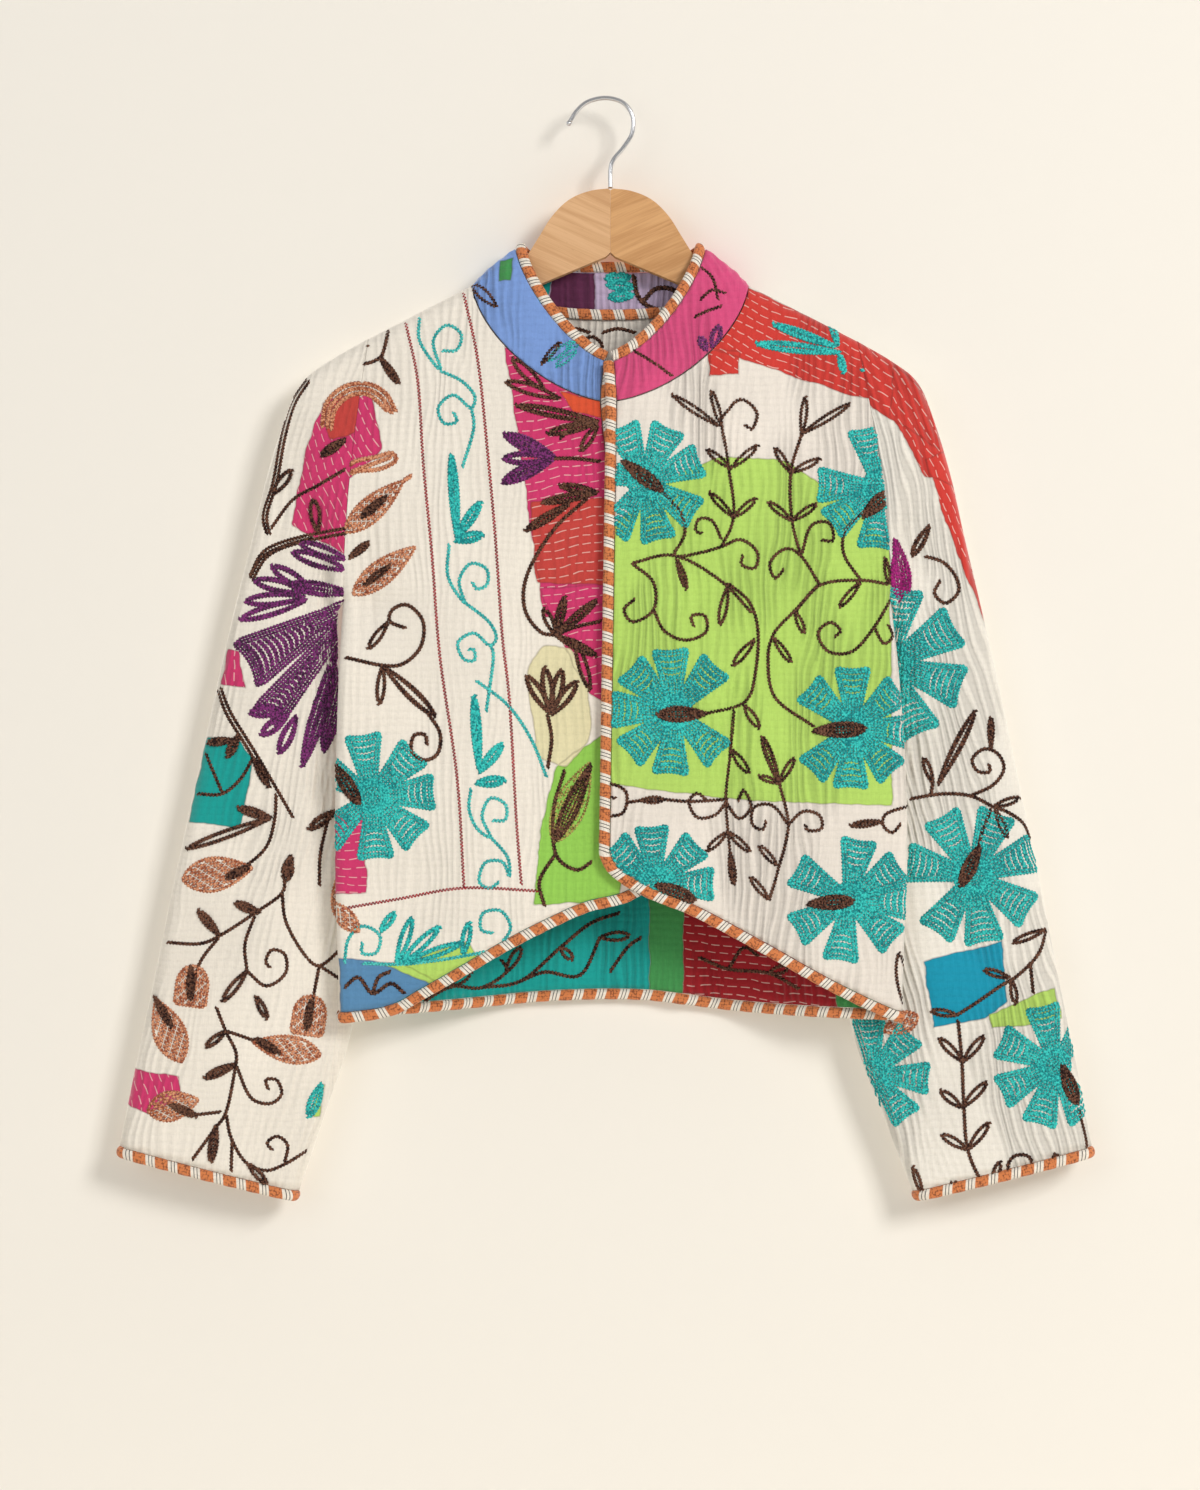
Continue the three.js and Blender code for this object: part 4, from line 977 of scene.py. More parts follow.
def collar_top(angle):
    turn = np.radians(angle)
    sign = np.sign(angle)
    in_front = np.maximum(-np.cos(turn), 0)
    behind = np.maximum(np.cos(turn), 0)
    across = sign * COLLAR_TOP_HALF_WIDTH * np.abs(np.sin(turn)) ** np.where(in_front > 0, 1.35, 0.55)
    fall = (COLLAR_TOP_SIDE - COLLAR_TOP_FRONT) * in_front**1.45
    sink = (COLLAR_TOP_SIDE - COLLAR_TOP_BACK) * behind**1.5
    lap = sign * LAP * smooth((in_front - 0.6) / 0.4)
    depth = -34 * in_front**0.8 + 14.5 * behind**0.7 - lap
    return np.stack([CENTRE_X + across, depth, COLLAR_TOP_SIDE - fall - sink], -1)


def collar_surface(angle, share):
    """Straight from the neck seam to the top loop, bowed outwards by bow * sin(pi share)."""
    seam, top = neck_seam(angle), collar_top(angle)
    start = seam + unit(top - seam) * 4 * GAP
    outward = seam * (1, 1.5, 0) + (-CENTRE_X, 0, 20)
    bow = unit(outward) * (COLLAR_BOW * np.sin(share * np.pi))[..., None]
    return mix(start, top, share[..., None]) + bow


def angle_at_edge(across):
    share = abs(across) / NECK_HALF_WIDTH
    return 180 - math.degrees(math.asin(share ** (NECK_ROUNDNESS / 2)))


# %% Collar finish and mesh
collar_ends = [-angle_at_edge(FRONT_EDGES["right"][0]), angle_at_edge(FRONT_EDGES["left"][0])]
collar_angles = np.concatenate([np.linspace(collar_ends[0], -90, 74)[:-1], np.linspace(-90, 90, 97)[:-1],
                                np.linspace(90, collar_ends[1], 74)])
collar_share = np.linspace(0, 1, COLLAR_ROWS)
angle, share = np.meshgrid(collar_angles, collar_share)
collar_mid = collar_surface(angle, share)
collar_normal = wall_normals(collar_mid)
outwards = np.array([0.0, -1.0, 0.0]) * np.where(np.abs(angle) > 90, 1, -1)[..., None]
collar_normal = collar_normal * np.sign(np.sum(collar_normal * outwards))


def collar_relief(angle, share):
    """Creases that lean along the band, as cloth cut on the bias and turned takes them."""
    along = angle * 1.6 + share * 26
    ridges = crinkles(along, share * 42 + angle, 11, 1.5)
    dents = 0.3 * np.sin(share * 19 + 4 * wander(angle * 2, share * 60, 2))
    return (ridges + dents) * smooth(share / 0.15) * smooth((1 - share) / 0.1)


COLLAR_CLOTH = cloth_material("collar_cloth", PERIWINKLE, [
    (PINK, (606, 200, 780, 200, 780, 420, 606, 420), 1, BARE, 0),
    (LEAF_GREEN, (500, 258, 512, 256, 511, 280, 499, 281), 1, BARE, 0),
])
COLLAR_INSIDE = cloth_material("collar_inside", LILAC, [
    (TEAL, (500, 240, 552, 260, 546, 300, 500, 310), 1, BARE, 0),
    (PURPLE, (552, 240, 596, 240, 594, 310, 548, 310), 1, BARE, 0),
])
collar = cloth_wall("collar_cloth", collar_mid, collar_normal, collar_relief(angle, share),
                    COLLAR_CLOTH, COLLAR_INSIDE)
print("collar", collar_mid.shape[:2], "ends at", [round(a, 1) for a in collar_ends])

# %% [markdown]
# Every edge is wrapped with thread in bands, terracotta and white by turns, with two dark threads in each
# white band. The wrapping is a flattened tube whose bands swell between the grooves that part them.

# %% Binding sizes
EDGE_HALF_WIDTH = 4.7
EDGE_HALF_DEPTH = 3.4
BAND_REPEAT = 19.9
TERRACOTTA_SHARE = 0.56
BINDING_SIDES = 14
BINDING_STEP = 1.5


def band_swell(along):
    """0 in the grooves between bands and 1 in the middle of a band: a root of a sine over each band."""
    place = (along / BAND_REPEAT) % 1
    in_terracotta = place < TERRACOTTA_SHARE
    in_white = (place - TERRACOTTA_SHARE) / (1 - TERRACOTTA_SHARE)
    inside = np.where(in_terracotta, place / TERRACOTTA_SHARE, in_white)
    return np.sqrt(np.abs(np.sin(inside * np.pi))) * np.where(in_terracotta, 1.0, 0.55)


def edge_path(mid, normal, inside, closed=False):
    """Even steps along an edge: the point, the way out of the cloth and the way its face looks."""
    if closed:
        mid, normal, inside = (np.concatenate([v, v[:1]]) for v in (mid, normal, inside))
    along = np.concatenate([[0], np.cumsum(np.linalg.norm(np.diff(mid, axis=0), axis=1))])
    count = int(round(along[-1] / BINDING_STEP))
    at = np.linspace(0, along[-1], count + 1)
    point, look, inner = (np.stack([np.interp(at, along, v[:, k]) for k in range(3)], 1)
                          for v in (mid, normal, inside))
    if closed:
        tangent = unit(np.roll(point[:-1], -1, 0) - np.roll(point[:-1], 1, 0))
        tangent = np.concatenate([tangent, tangent[:1]])
    else:
        tangent = unit(np.gradient(point, axis=0))
    look = unit(look - tangent * np.sum(look * tangent, 1, keepdims=True))
    out = unit(np.cross(tangent, look))
    out = out * np.sign(np.sum(out * (point - inner), 1, keepdims=True))
    return point, out, look, at


def strip(name, path, closed=False, half_depth=EDGE_HALF_DEPTH, out_by=EDGE_HALF_WIDTH + GAP, in_by=0):
    """A flattened tube: centre + out * half width * cos + look * half depth * sin, swollen by the bands."""
    point, out, look, at = path
    if closed:
        point, out, look = point[:-1], out[:-1], look[:-1]
    rings = len(point)
    turn = (np.arange(BINDING_SIDES) + 0.5) / BINDING_SIDES * 2 * np.pi
    swell = 0.93 + 0.09 * band_swell(at[:rings])[:, None, None]
    centre = point + out * out_by + look * in_by
    ring = out[:, None] * np.cos(turn)[None, :, None] * EDGE_HALF_WIDTH
    ring = ring + look[:, None] * np.sin(turn)[None, :, None] * half_depth
    points = (centre[:, None] + ring * swell).reshape(-1, 3)
    r, c = grid_faces(rings + 1 if closed else rings, BINDING_SIDES, around=True)
    quads = (r % rings) * BINDING_SIDES + c % BINDING_SIDES
    quads, turned = facing_out(quads, points, ring.reshape(-1, 3))
    uv = np.stack([at[r] * MM, c / BINDING_SIDES], -1)
    uv = (uv[:, ::-1] if turned else uv).reshape(-1, 2)
    faces = quads.tolist()
    if not closed:
        first = list(range(BINDING_SIDES))
        last = [(rings - 1) * BINDING_SIDES + k for k in first]
        faces += [first[::-1], last] if turned else [first, last[::-1]]
        uv = np.concatenate([uv, np.zeros((BINDING_SIDES, 2)), np.full((BINDING_SIDES, 2), at[-1] * MM)])
    return add_mesh(name, points, faces, [WRAPPED_THREAD], uv)


# %% Binding finish
def binding_material():
    """Bands from the length along the tube, leaning by cos of the turn round it."""
    tree, finish = new_material("wrapped_thread")
    pattern = pattern_place(tree)
    along, turn, _ = node(tree, "SeparateXYZ", _0=pattern)
    leaning = (turn * (2 * math.pi)).maths("COSINE").maths("MULTIPLY_ADD", 0.0014, along)
    place = (leaning / (BAND_REPEAT * MM)).maths("FRACT")
    white = ramp(place, 0.545, 0.575) * ramp(place, 0.995, 0.965)
    lines = [ramp(place.away_from(middle), 0.022, 0.008) for middle in (0.69, 0.83)]
    dark = lines[0].maths("MAXIMUM", lines[1])
    # Sunken dots in the wrapping, darkened towards deep brown below: painted shade in those dimples.
    dot_place = node(tree, "Mapping", Vector=pattern, Scale=(440.0, 11.0, 1.0))[0]
    dot_shade = ramp(node(tree, "TexVoronoi", Vector=dot_place, Scale=1.0, Randomness=0.55)[0], 0.52, 0.72)
    uneven = noise(pattern, 160.0)
    tone = blend(uneven, rgb(196, 104, 54), rgb(224, 144, 90))
    tone = blend(dot_shade * 0.75, tone, rgb(112, 56, 34))
    pale = blend(dark, blend(uneven, rgb(226, 216, 200), rgb(250, 244, 234)), rgb(52, 44, 46))
    return finish(Base_Color=blend(white, tone, pale), Roughness=0.85, Sheen_Weight=0.2,
                  Specular_IOR_Level=0.25, Normal=bump(uneven * 0.3 - dot_shade - dark, 0.7, 0.0006))


WRAPPED_THREAD = binding_material()

# %% Make the bindings
bindings = {}
for name, column, beside in (("right", 0, 1), ("left", -1, -2)):
    panel = panels[name + "_front"]
    mid, normal = panel["mid"], panel["normal"]
    rows = slice(None, 0, -1)  # down the collar's end, then the front's edge and its hem
    line = np.concatenate([collar_mid[rows, column], mid[RIDGE_ROWS:, 0], mid[-1, 2:]])
    look = np.concatenate([collar_normal[rows, column], normal[RIDGE_ROWS:, 0], normal[-1, 2:]])
    inner = np.concatenate([collar_mid[rows, beside], mid[RIDGE_ROWS:, 1], mid[-2, 2:]])
    bindings[name + "_front_binding"] = strip(name + "_front_edge", edge_path(line, look, inner))
    mid, normal = sleeves[name]["mid"], sleeves[name]["normal"]
    path = edge_path(mid[-1], normal[-1], mid[-2], closed=True)
    bindings[name + "_cuff_binding"] = strip(name + "_cuff_edge", path, closed=True)
for name, mid, normal in (("back_hem", panels["back"]["mid"], panels["back"]["normal"]),
                          ("collar", collar_mid, collar_normal)):
    bindings[name + "_binding"] = strip(name + "_edge", edge_path(mid[-1], normal[-1], mid[-2]))
TAPE_REACH = 66
TAPE_HALF_DEPTH = 1.7
tape_angle = np.linspace(-TAPE_REACH, TAPE_REACH, 90)
tape_mid = neck_seam(tape_angle)
tape_look = np.tile([0.0, 1.0, 0.0], (len(tape_angle), 1))
path = edge_path(tape_mid, tape_look, tape_mid - (0, 0, 5))
bindings["neck_seam_tape"] = strip("neck_tape", path, half_depth=TAPE_HALF_DEPTH, out_by=0,
                                   in_by=-(WALL / 2 + GAP + TAPE_HALF_DEPTH))
print("bindings:", {k: len(v.data.polygons) for k, v in bindings.items()})

# %% [markdown]
# The hanger is two beech arms glued at the middle, sawn from a board with the grain running down each
# arm, and rounded along the edges. Its outline is a smooth curve over the shoulder and a straight slope.

# %% Hanger arms
HANGER_SHOULDER = ((0, 18, 35, 49, 60, 70, 84, 108), (-78, -80.5, -88, -102, -119.5, -135, -152, -170.5))
HANGER_UNDERSIDE = ((0, 95, 150, 194), (-131, -172, -203, -233))
HANGER_THICKNESS = 12
HANGER_ROUNDING = 2.4
HANGER_TIP = 201.5
TIP_RADIUS = 9.5
MIDDLE_GAP = 0.06  # from each arm to the joint's middle
TIP_TOP = float(ridge_at(203)) - 5


def arm_outline(sign):
    """Points round one arm: the shoulder's curve, the slope, the rounded tip and the underside."""
    out = np.linspace(MIDDLE_GAP, 108, 60)
    shoulder = np.stack([out, through(*HANGER_SHOULDER, out)], 1)
    tip_turn = np.radians(np.linspace(62, -100, 14))
    tip_centre = np.array([HANGER_TIP - TIP_RADIUS, TIP_TOP - 6.5])
    tip = tip_centre + TIP_RADIUS * np.stack([np.cos(tip_turn), np.sin(tip_turn)], 1)
    out = np.linspace(186, MIDDLE_GAP, 40)
    under = np.stack([out, through(*HANGER_UNDERSIDE, out)], 1)
    points = np.concatenate([shoulder, tip, under])
    return points * (sign, 1)


def hanger_arm(name, sign, material):
    outline = arm_outline(sign)
    count = len(outline)
    half = HANGER_THICKNESS / 2
    ring = np.stack([CENTRE_X + outline[:, 0], np.full(count, -half), outline[:, 1]], 1)
    points = np.concatenate([ring, ring + (0, 2 * half, 0)])
    front = list(range(count))
    a = np.arange(count)
    b = (a + 1) % count
    sides = np.stack([a, a + count, b + count, b], 1)
    faces = [front, [k + count for k in front[::-1]]] + sides[:, ::-1].tolist()
    if sign < 0:
        faces = [face[::-1] for face in faces]
    arm = add_mesh(name, points, faces, [material])
    rounding = arm.modifiers.new("rounded edges", "BEVEL")
    rounding.width = HANGER_ROUNDING * MM
    rounding.segments = 4
    rounding.limit_method = "WEIGHT"
    rounding.harden_normals = True
    ends = np.array([edge.vertices[:] for edge in arm.data.edges])
    on_a_face = (ends[:, 0] < count) == (ends[:, 1] < count)
    at_joint = np.abs(points[ends][:, :, 0] - CENTRE_X).max(axis=1) < 1
    weights = arm.data.attributes.new("bevel_weight_edge", "FLOAT", "EDGE")
    weights.data.foreach_set("value", (on_a_face & ~at_joint).astype(np.float32))
    return arm


# %% Beech finish
def beech_material(name, light, dark, turn, shift):
    """Grain: noise drawn out along the arm, with a few slow bands and small dark flecks."""
    tree, finish = new_material(name)
    along = node(tree, "Mapping", Vector=named_output(tree, "TexCoord", "Object"), Location=shift,
                 Rotation=(0, math.radians(turn), 0))[0]
    bands = noise(along, detail=4.0, stretch=(9.0, 60.0, 150.0), distortion=0.4)
    fibres = noise(along, detail=3.0, stretch=(26.0, 300.0, 900.0))
    flecks = ramp(noise(along, stretch=(160.0, 500.0, 1100.0)), 0.66, 0.74)
    colour = blend(ramp(bands * 0.7 + fibres * 0.3, 0.34, 0.66), dark, light)
    return finish(Base_Color=blend(flecks * 0.35, colour, rgb(150, 100, 60)),
                  Roughness=ramp(fibres, 0.3, 0.7, 0.5, 0.4), Coat_Weight=0.15, Coat_Roughness=0.35,
                  Normal=bump(fibres, 0.15, 0.0003))


RIGHT_BEECH = beech_material("beech_right", rgb(218, 174, 128), rgb(196, 148, 100), -24, (0, 0, 0))
LEFT_BEECH = beech_material("beech_left", rgb(212, 162, 108), rgb(186, 134, 80), 24, (0.4, 0.1, 0.2))
hanger_arms = {"right": hanger_arm("right_arm", -1, RIGHT_BEECH)}
hanger_arms["left"] = hanger_arm("left_arm", 1, LEFT_BEECH)
print("hanger tip top", round(TIP_TOP, 1))

# %% [markdown]
# The hook is a bent steel wire with a small ball at its tip. Its line is a spline through a few points,
# and the wire is a circle carried along it.

# %% Hook
HOOK_RADIUS = 2.0
HOOK_POINTS = np.array([(5.5, -75.5), (5.5, -60), (8, -51), (17, -40), (24, -28), (24.5, -14), (17.5, -3),
                        (6.5, 1.5), (-5, 1.4), (-16, -2.5), (-24, -10), (-29, -18)])
HOOK_SIDES = 20
HOOK_STEPS = 10  # between two points of its line
BALL_RADIUS = 2.5


def spline(points, per_span):
    """A Catmull-Rom curve through points in the plane, as many steps to each span."""
    points = np.asarray(points, float)
    count = len(points)
    padded = np.concatenate([[2 * points[0] - points[1]], points, [2 * points[-1] - points[-2]]])
    t = np.linspace(0, 1, per_span, endpoint=False)[:, None]
    spans = []
    for i in range(count - 1):
        p0, p1, p2, p3 = padded[i:i + 4]
        spans.append(0.5 * (2 * p1 + (p2 - p0) * t + (2 * p0 - 5 * p1 + 4 * p2 - p3) * t**2
                            + (3 * p1 - p0 - 3 * p2 + p3) * t**3))
    return np.concatenate(spans + [points[-1:]])


def hook_mesh(material):
    """Rings round the line; the last ones follow a ball wider than the wire and close to a point."""
    line = spline(HOOK_POINTS, HOOK_STEPS)
    centre = np.stack([line[:, 0], np.zeros(len(line)), line[:, 1]], 1)
    tangent = unit(np.gradient(centre, axis=0))
    radius = np.full(len(line), HOOK_RADIUS)
    ball = np.linspace(0, np.pi, 9)[1:]
    tip = centre[-1] + tangent[-1] * (BALL_RADIUS * (1 - np.cos(ball)) - 0.6)[:, None]
    centre = np.concatenate([centre, tip])
    tangent = np.concatenate([tangent, np.tile(tangent[-1], (len(ball), 1))])
    radius = np.concatenate([radius, np.maximum(BALL_RADIUS * np.sin(ball), 0.02)])
    side = unit(np.cross(tangent, (0.0, 1.0, 0.0)))
    turn = np.arange(HOOK_SIDES) / HOOK_SIDES * 2 * np.pi
    ring = side[:, None] * np.cos(turn)[None, :, None] + np.array([0, 1.0, 0]) * np.sin(turn)[None, :, None]
    points = (centre[:, None] + ring * radius[:, None, None]).reshape(-1, 3)
    r, c = grid_faces(len(centre), HOOK_SIDES, around=True)
    quads, turned = facing_out(r * HOOK_SIDES + c % HOOK_SIDES, points, ring.reshape(-1, 3))
    first = list(range(HOOK_SIDES))
    last = [(len(centre) - 1) * HOOK_SIDES + k for k in first]
    caps = [first, last[::-1]] if turned else [first[::-1], last]
    return add_mesh("hook_wire", points, quads.tolist() + caps, [material])


def steel_material():
    tree, finish = new_material("polished_steel")
    uneven = noise(named_output(tree, "TexCoord", "Object"), 900.0, 3.0)
    return finish(Base_Color=blend(uneven, rgb(196, 198, 202), rgb(226, 226, 228)),
                  Roughness=ramp(uneven, 0.3, 0.7, 0.14, 0.24), Metallic=1.0)


hook = hook_mesh(steel_material())

# %% [markdown]
# The embroidery is chain stitch in thick cotton thread. A stitch is a small grain, pointed at both ends,
# half sunk in the cloth. Lines of them make the stems and the outlines, and rows of them fill the petals.

# %% Stitches
LINK = 2.9  # millimetres to a stitch
ROW = 2.45  # between two rows of a filling
GRAIN_HALF = (2.05, 1.4, 0.8)  # half length, half width and half height
STEM_STEPS = 7  # between two points of a stem
CHAIN_SPREAD = 0.6  # from a chain's middle to the grains on each side


def stepped(line):
    """The middle of each stitch along a line, and the way the line runs there."""
    line = np.asarray(line, float)
    along = np.concatenate([[0], np.cumsum(np.linalg.norm(np.diff(line, axis=0), axis=1))])
    count = max(int(round(along[-1] / LINK)), 1)
    at = (np.arange(count) + 0.5) * along[-1] / count
    place, ahead, behind = (np.stack([np.interp(d, along, line[:, k]) for k in (0, 1)], 1)
                            for d in (at, at + 0.5, at - 0.5))
    return place, unit(ahead - behind)


def sideways(direction):
    return direction[..., ::-1] * (-1, 1)


def row(line):
    """One grain to each stitch: place and direction, four numbers to a grain."""
    return np.concatenate(stepped(line), 1)


def chain(line):
    """Two grains to each stitch, staggered and leaning outwards like the sides of a link."""
    place, ahead = stepped(line)
    aside = sideways(ahead)
    sides = [np.concatenate([place + (aside * CHAIN_SPREAD + ahead * LINK / 4) * sign,
                             unit(ahead + aside * sign * 0.22)], 1) for sign in (-1, 1)]
    return np.concatenate(sides)


# %% Leaves
def leaf_line(root, tip, width, inset=0.0):
    """A closed loop from root to tip and back: half width * sin(pi t^1.25)^0.7, fullest near the tip."""
    t = np.linspace(0, 1, 15)
    run = tip - root
    length = np.linalg.norm(run)
    run = run / length
    half = np.maximum(width / 2 - inset, 0.3)
    off = half * np.sin(np.pi * t**1.25) ** 0.7
    spine = root + run * (inset + t * (length - 2 * inset))[:, None]
    aside = sideways(run)
    return np.concatenate([spine + aside * off[:, None], (spine - aside * off[:, None])[-2::-1]])


def leaf(ends, width=6, rows=0):
    """An outline of chain stitch, with more rows inside a leaf that is worked solid."""
    root, tip = laid(ends)
    parts = [chain(leaf_line(root, tip, width - 1.2))]
    for k in range(rows):
        parts.append(row(leaf_line(root, tip, width, ROW * (k + 1))))
    return np.concatenate(parts)


def filled_leaf(ends, width, blunt=False):
    """Rows along the whole leaf, with gaps left in them. A blunt one is round at the root and wide beyond."""
    root, tip = laid(ends)
    run = tip - root
    length = np.linalg.norm(run)
    run = run / length
    aside = sideways(run)
    outline = leaf_line(root, tip, width)
    if blunt:
        t = np.linspace(0, 1, 15)
        off = width / 2 * np.sqrt(1 - np.clip(1 - 2 * t, 0, 1) ** 2) * np.where(t > 0.93, 0.8, 1)
        spine = root + run * (t * length)[:, None]
        outline = np.concatenate([spine + aside * off[:, None], (spine - aside * off[:, None])[::-1]])
    parts = [row(outline)]
    along, across = np.meshgrid(np.arange(ROW, length - 1, LINK), np.arange(-width / 2, width / 2, ROW))
    t = along / length
    room = np.sqrt(1 - np.clip(1 - 2 * t, 0, 1) ** 2) if blunt else np.sin(np.pi * t**1.25) ** 0.7
    ladder = (np.floor(along / LINK) + np.floor(across / ROW)) % 4 > 0
    keep = (np.abs(across) < width / 2 * room - 1.6) & ladder
    place = root + run * along[keep][:, None] + aside * across[keep][:, None]
    parts.append(np.concatenate([place, np.tile(run, (len(place), 1))], 1))
    return np.concatenate(parts)


# %% Flowers
RUNG_PITCH = 5.3
RUNG_ROW = 1.7  # between the two rows of a rung
SOLID_FOOT = 0.36  # the share of a petal, from its root, that has no rungs


def petal_rows(root, run, length, foot, end, rim=2):
    """A petal that flares from its root: half width foot + (end - foot) u^1.15 at the share u of its length.

    It has rows round the rim, rungs with the cloth showing between them, and a solid foot."""
    aside = sideways(run)

    def half(u):
        return (foot + (end - foot) * u**1.15) * (1 - 0.16 * smooth((u - 0.9) / 0.1))

    def at(u, v):
        return root + np.multiply.outer(np.asarray(u) * length, run) + np.multiply.outer(v, aside)

    share = np.linspace(0, 0.97, 14)
    insets = np.arange(rim) * ROW
    edges = [(inset, sign) for inset in insets for sign in (-1, 1)]
    parts = [row(at(share, sign * np.maximum(half(share) - inset, 0))) for inset, sign in edges]
    v = np.linspace(-1, 1, 9)
    for inset in insets:
        u = 0.97 - 0.04 * (1 - v * v) - inset / length
        parts.append(row(at(u, v * (half(u) - 1))))
    steps = np.arange(0.97 * length - (rim - 1) * ROW - RUNG_PITCH, SOLID_FOOT * length, -RUNG_PITCH)
    for u in np.concatenate([steps, steps + RUNG_ROW]) / length:
        width = half(u) - (rim - 0.3) * ROW
        if width > 1:
            parts.append(row(at(u - 0.03 * (1 - v * v), v * width)))
    solid = steps[-1] - RUNG_PITCH + RUNG_ROW
    u, v = np.meshgrid(np.linspace(0, solid, int(solid / LINK) + 2) / length, np.arange(-6, 7) * ROW)
    keep = np.abs(v) < half(u) - ROW - 0.4
    place = at(u[keep], v[keep])
    parts.append(np.concatenate([place, np.tile(run, (len(place), 1))], 1))
    return np.concatenate(parts)


def petal(ends, foot, end, rim):
    root, tip = laid(ends)
    length = float(np.linalg.norm(tip - root))
    return petal_rows(root, (tip - root) / length, length, foot, end, rim)


def flower(centre, reach, angles):
    """A disc of rings with petals set round it, each from a sixth of the reach outwards."""
    centre = laid(centre)[0]
    turn = np.linspace(0, 2 * np.pi, 25)
    ring = np.stack([np.cos(turn), np.sin(turn)], 1)
    parts = [row(centre + radius * ring) for radius in np.arange(ROW * 0.6, 0.28 * reach, ROW)]
    for angle in np.radians(angles):
        run = np.array([np.cos(angle), np.sin(angle)])
        start = centre + run * 0.17 * reach
        parts.append(petal_rows(start, run, 0.83 * reach, 0.11 * reach, 0.29 * reach))
    return np.concatenate(parts)


# %% [markdown]
# The grains are laid on the cloth by looking along Y: where that line meets the cloth is the stitch's
# place, and the face it meets says how the stitch tilts. What misses the cloth is left out, so a motif
# that runs over an edge ends there.

# %% Sewing
from mathutils.bvhtree import BVHTree

sewn = []


def on_cloth(piece, spots, from_behind):
    """For each x and z: does a line along Y meet the cloth, where, and which way does the cloth look."""
    points = np.empty(len(piece.data.vertices) * 3)
    piece.data.vertices.foreach_get("co", points)
    quads = [tuple(face.vertices) for face in piece.data.polygons]
    tree = BVHTree.FromPolygons(points.reshape(-1, 3).tolist(), quads)
    start, way = (1.0, (0, -1, 0)) if from_behind else (-1.0, (0, 1, 0))
    hits = [tree.ray_cast((x, start, z), way) for x, z in (spots * MM).tolist()]
    met = np.array([hit[0] is not None for hit in hits])
    place = np.array([tuple(hit[0]) for hit in hits if hit[0] is not None]) / MM
    look = np.array([tuple(hit[1]) for hit in hits if hit[0] is not None])
    toward = 1.0 if from_behind else -1.0
    look = look * np.where(look[:, 1:2] * toward < 0, -1, 1)
    return met, place, look


STEEPEST = 0.28  # the least that a face looks along Y and still takes a stitch


def sew(name, piece, thread, grains, from_behind, size=1.0, lift=0.12):
    """One mesh of double pyramids: tips along the stitch, and four corners across it and out of the cloth."""
    grains = np.concatenate(grains)
    met, place, look = on_cloth(piece, grains[:, :2], from_behind)
    facing = np.abs(look[:, 1]) > STEEPEST
    place, look, along = place[facing], look[facing], grains[met][facing, 2:]
    ahead = np.stack([along[:, 0], np.zeros(len(along)), along[:, 1]], 1)
    ahead = unit(ahead - look * np.sum(ahead * look, 1, keepdims=True))
    aside = np.cross(look, ahead)
    half = np.array(GRAIN_HALF) * size
    middle = place + look * lift
    corners = [ahead * half[0], aside * half[1], look * half[2], -aside * half[1], -look * half[2],
               -ahead * half[0]]
    points = np.stack([middle + corner for corner in corners], 1).reshape(-1, 3)
    shape = np.array([[0, 1, 2], [0, 2, 3], [0, 3, 4], [0, 4, 1], [5, 2, 1], [5, 3, 2], [5, 4, 3], [5, 1, 4]])
    faces = (shape[None] + np.arange(len(place))[:, None, None] * 6).reshape(-1, 3)
    sewn.append(add_mesh(name, points, faces.tolist(), [thread]))


def thread_material(name, colour, dark, sheen):
    """Twisted cotton: fine noise between two tones, a soft sheen and a rough surface."""
    tree, finish = new_material(name + "_thread")
    place = named_output(tree, "TexCoord", "Object")
    fine = noise(place, 560.0, 1.5)
    share = fine * 0.8 + noise(place, 30.0) * 0.2
    return finish(Base_Color=blend(ramp(share, 0.4, 0.6), rgb(*dark), rgb(*colour)), Roughness=0.6,
                  Sheen_Weight=sheen, Specular_IOR_Level=0.2, Normal=bump(fine, 0.4, 0.0002))


THREADS = {name: thread_material(name, *tones) for name, *tones in (  # its colour, a darker tone, its sheen
    ("teal", (56, 206, 198), (0, 130, 134), 0.2), ("aqua", (92, 218, 210), (24, 158, 160), 0.2),
    ("brown", (116, 78, 60), (36, 16, 14), 0.0), ("copper", (222, 158, 120), (148, 74, 44), 0.2),
    ("purple", (132, 46, 120), (52, 6, 50), 0.2), ("plum", (172, 22, 124), (112, 8, 84), 0.2),
    ("olive", (196, 186, 96), (118, 102, 40), 0.2), ("red", (186, 40, 54), (122, 14, 32), 0.0),
)}

# %% [markdown]
# The motifs, by cloth and thread, all on the squared sheet, whose points are two numbers, across and down.
# Stems and curls are smooth curves through a few points. A leaf is its root and its tip, then its width in
# millimetres where that isn't 6, and last the rows inside, where it has any.

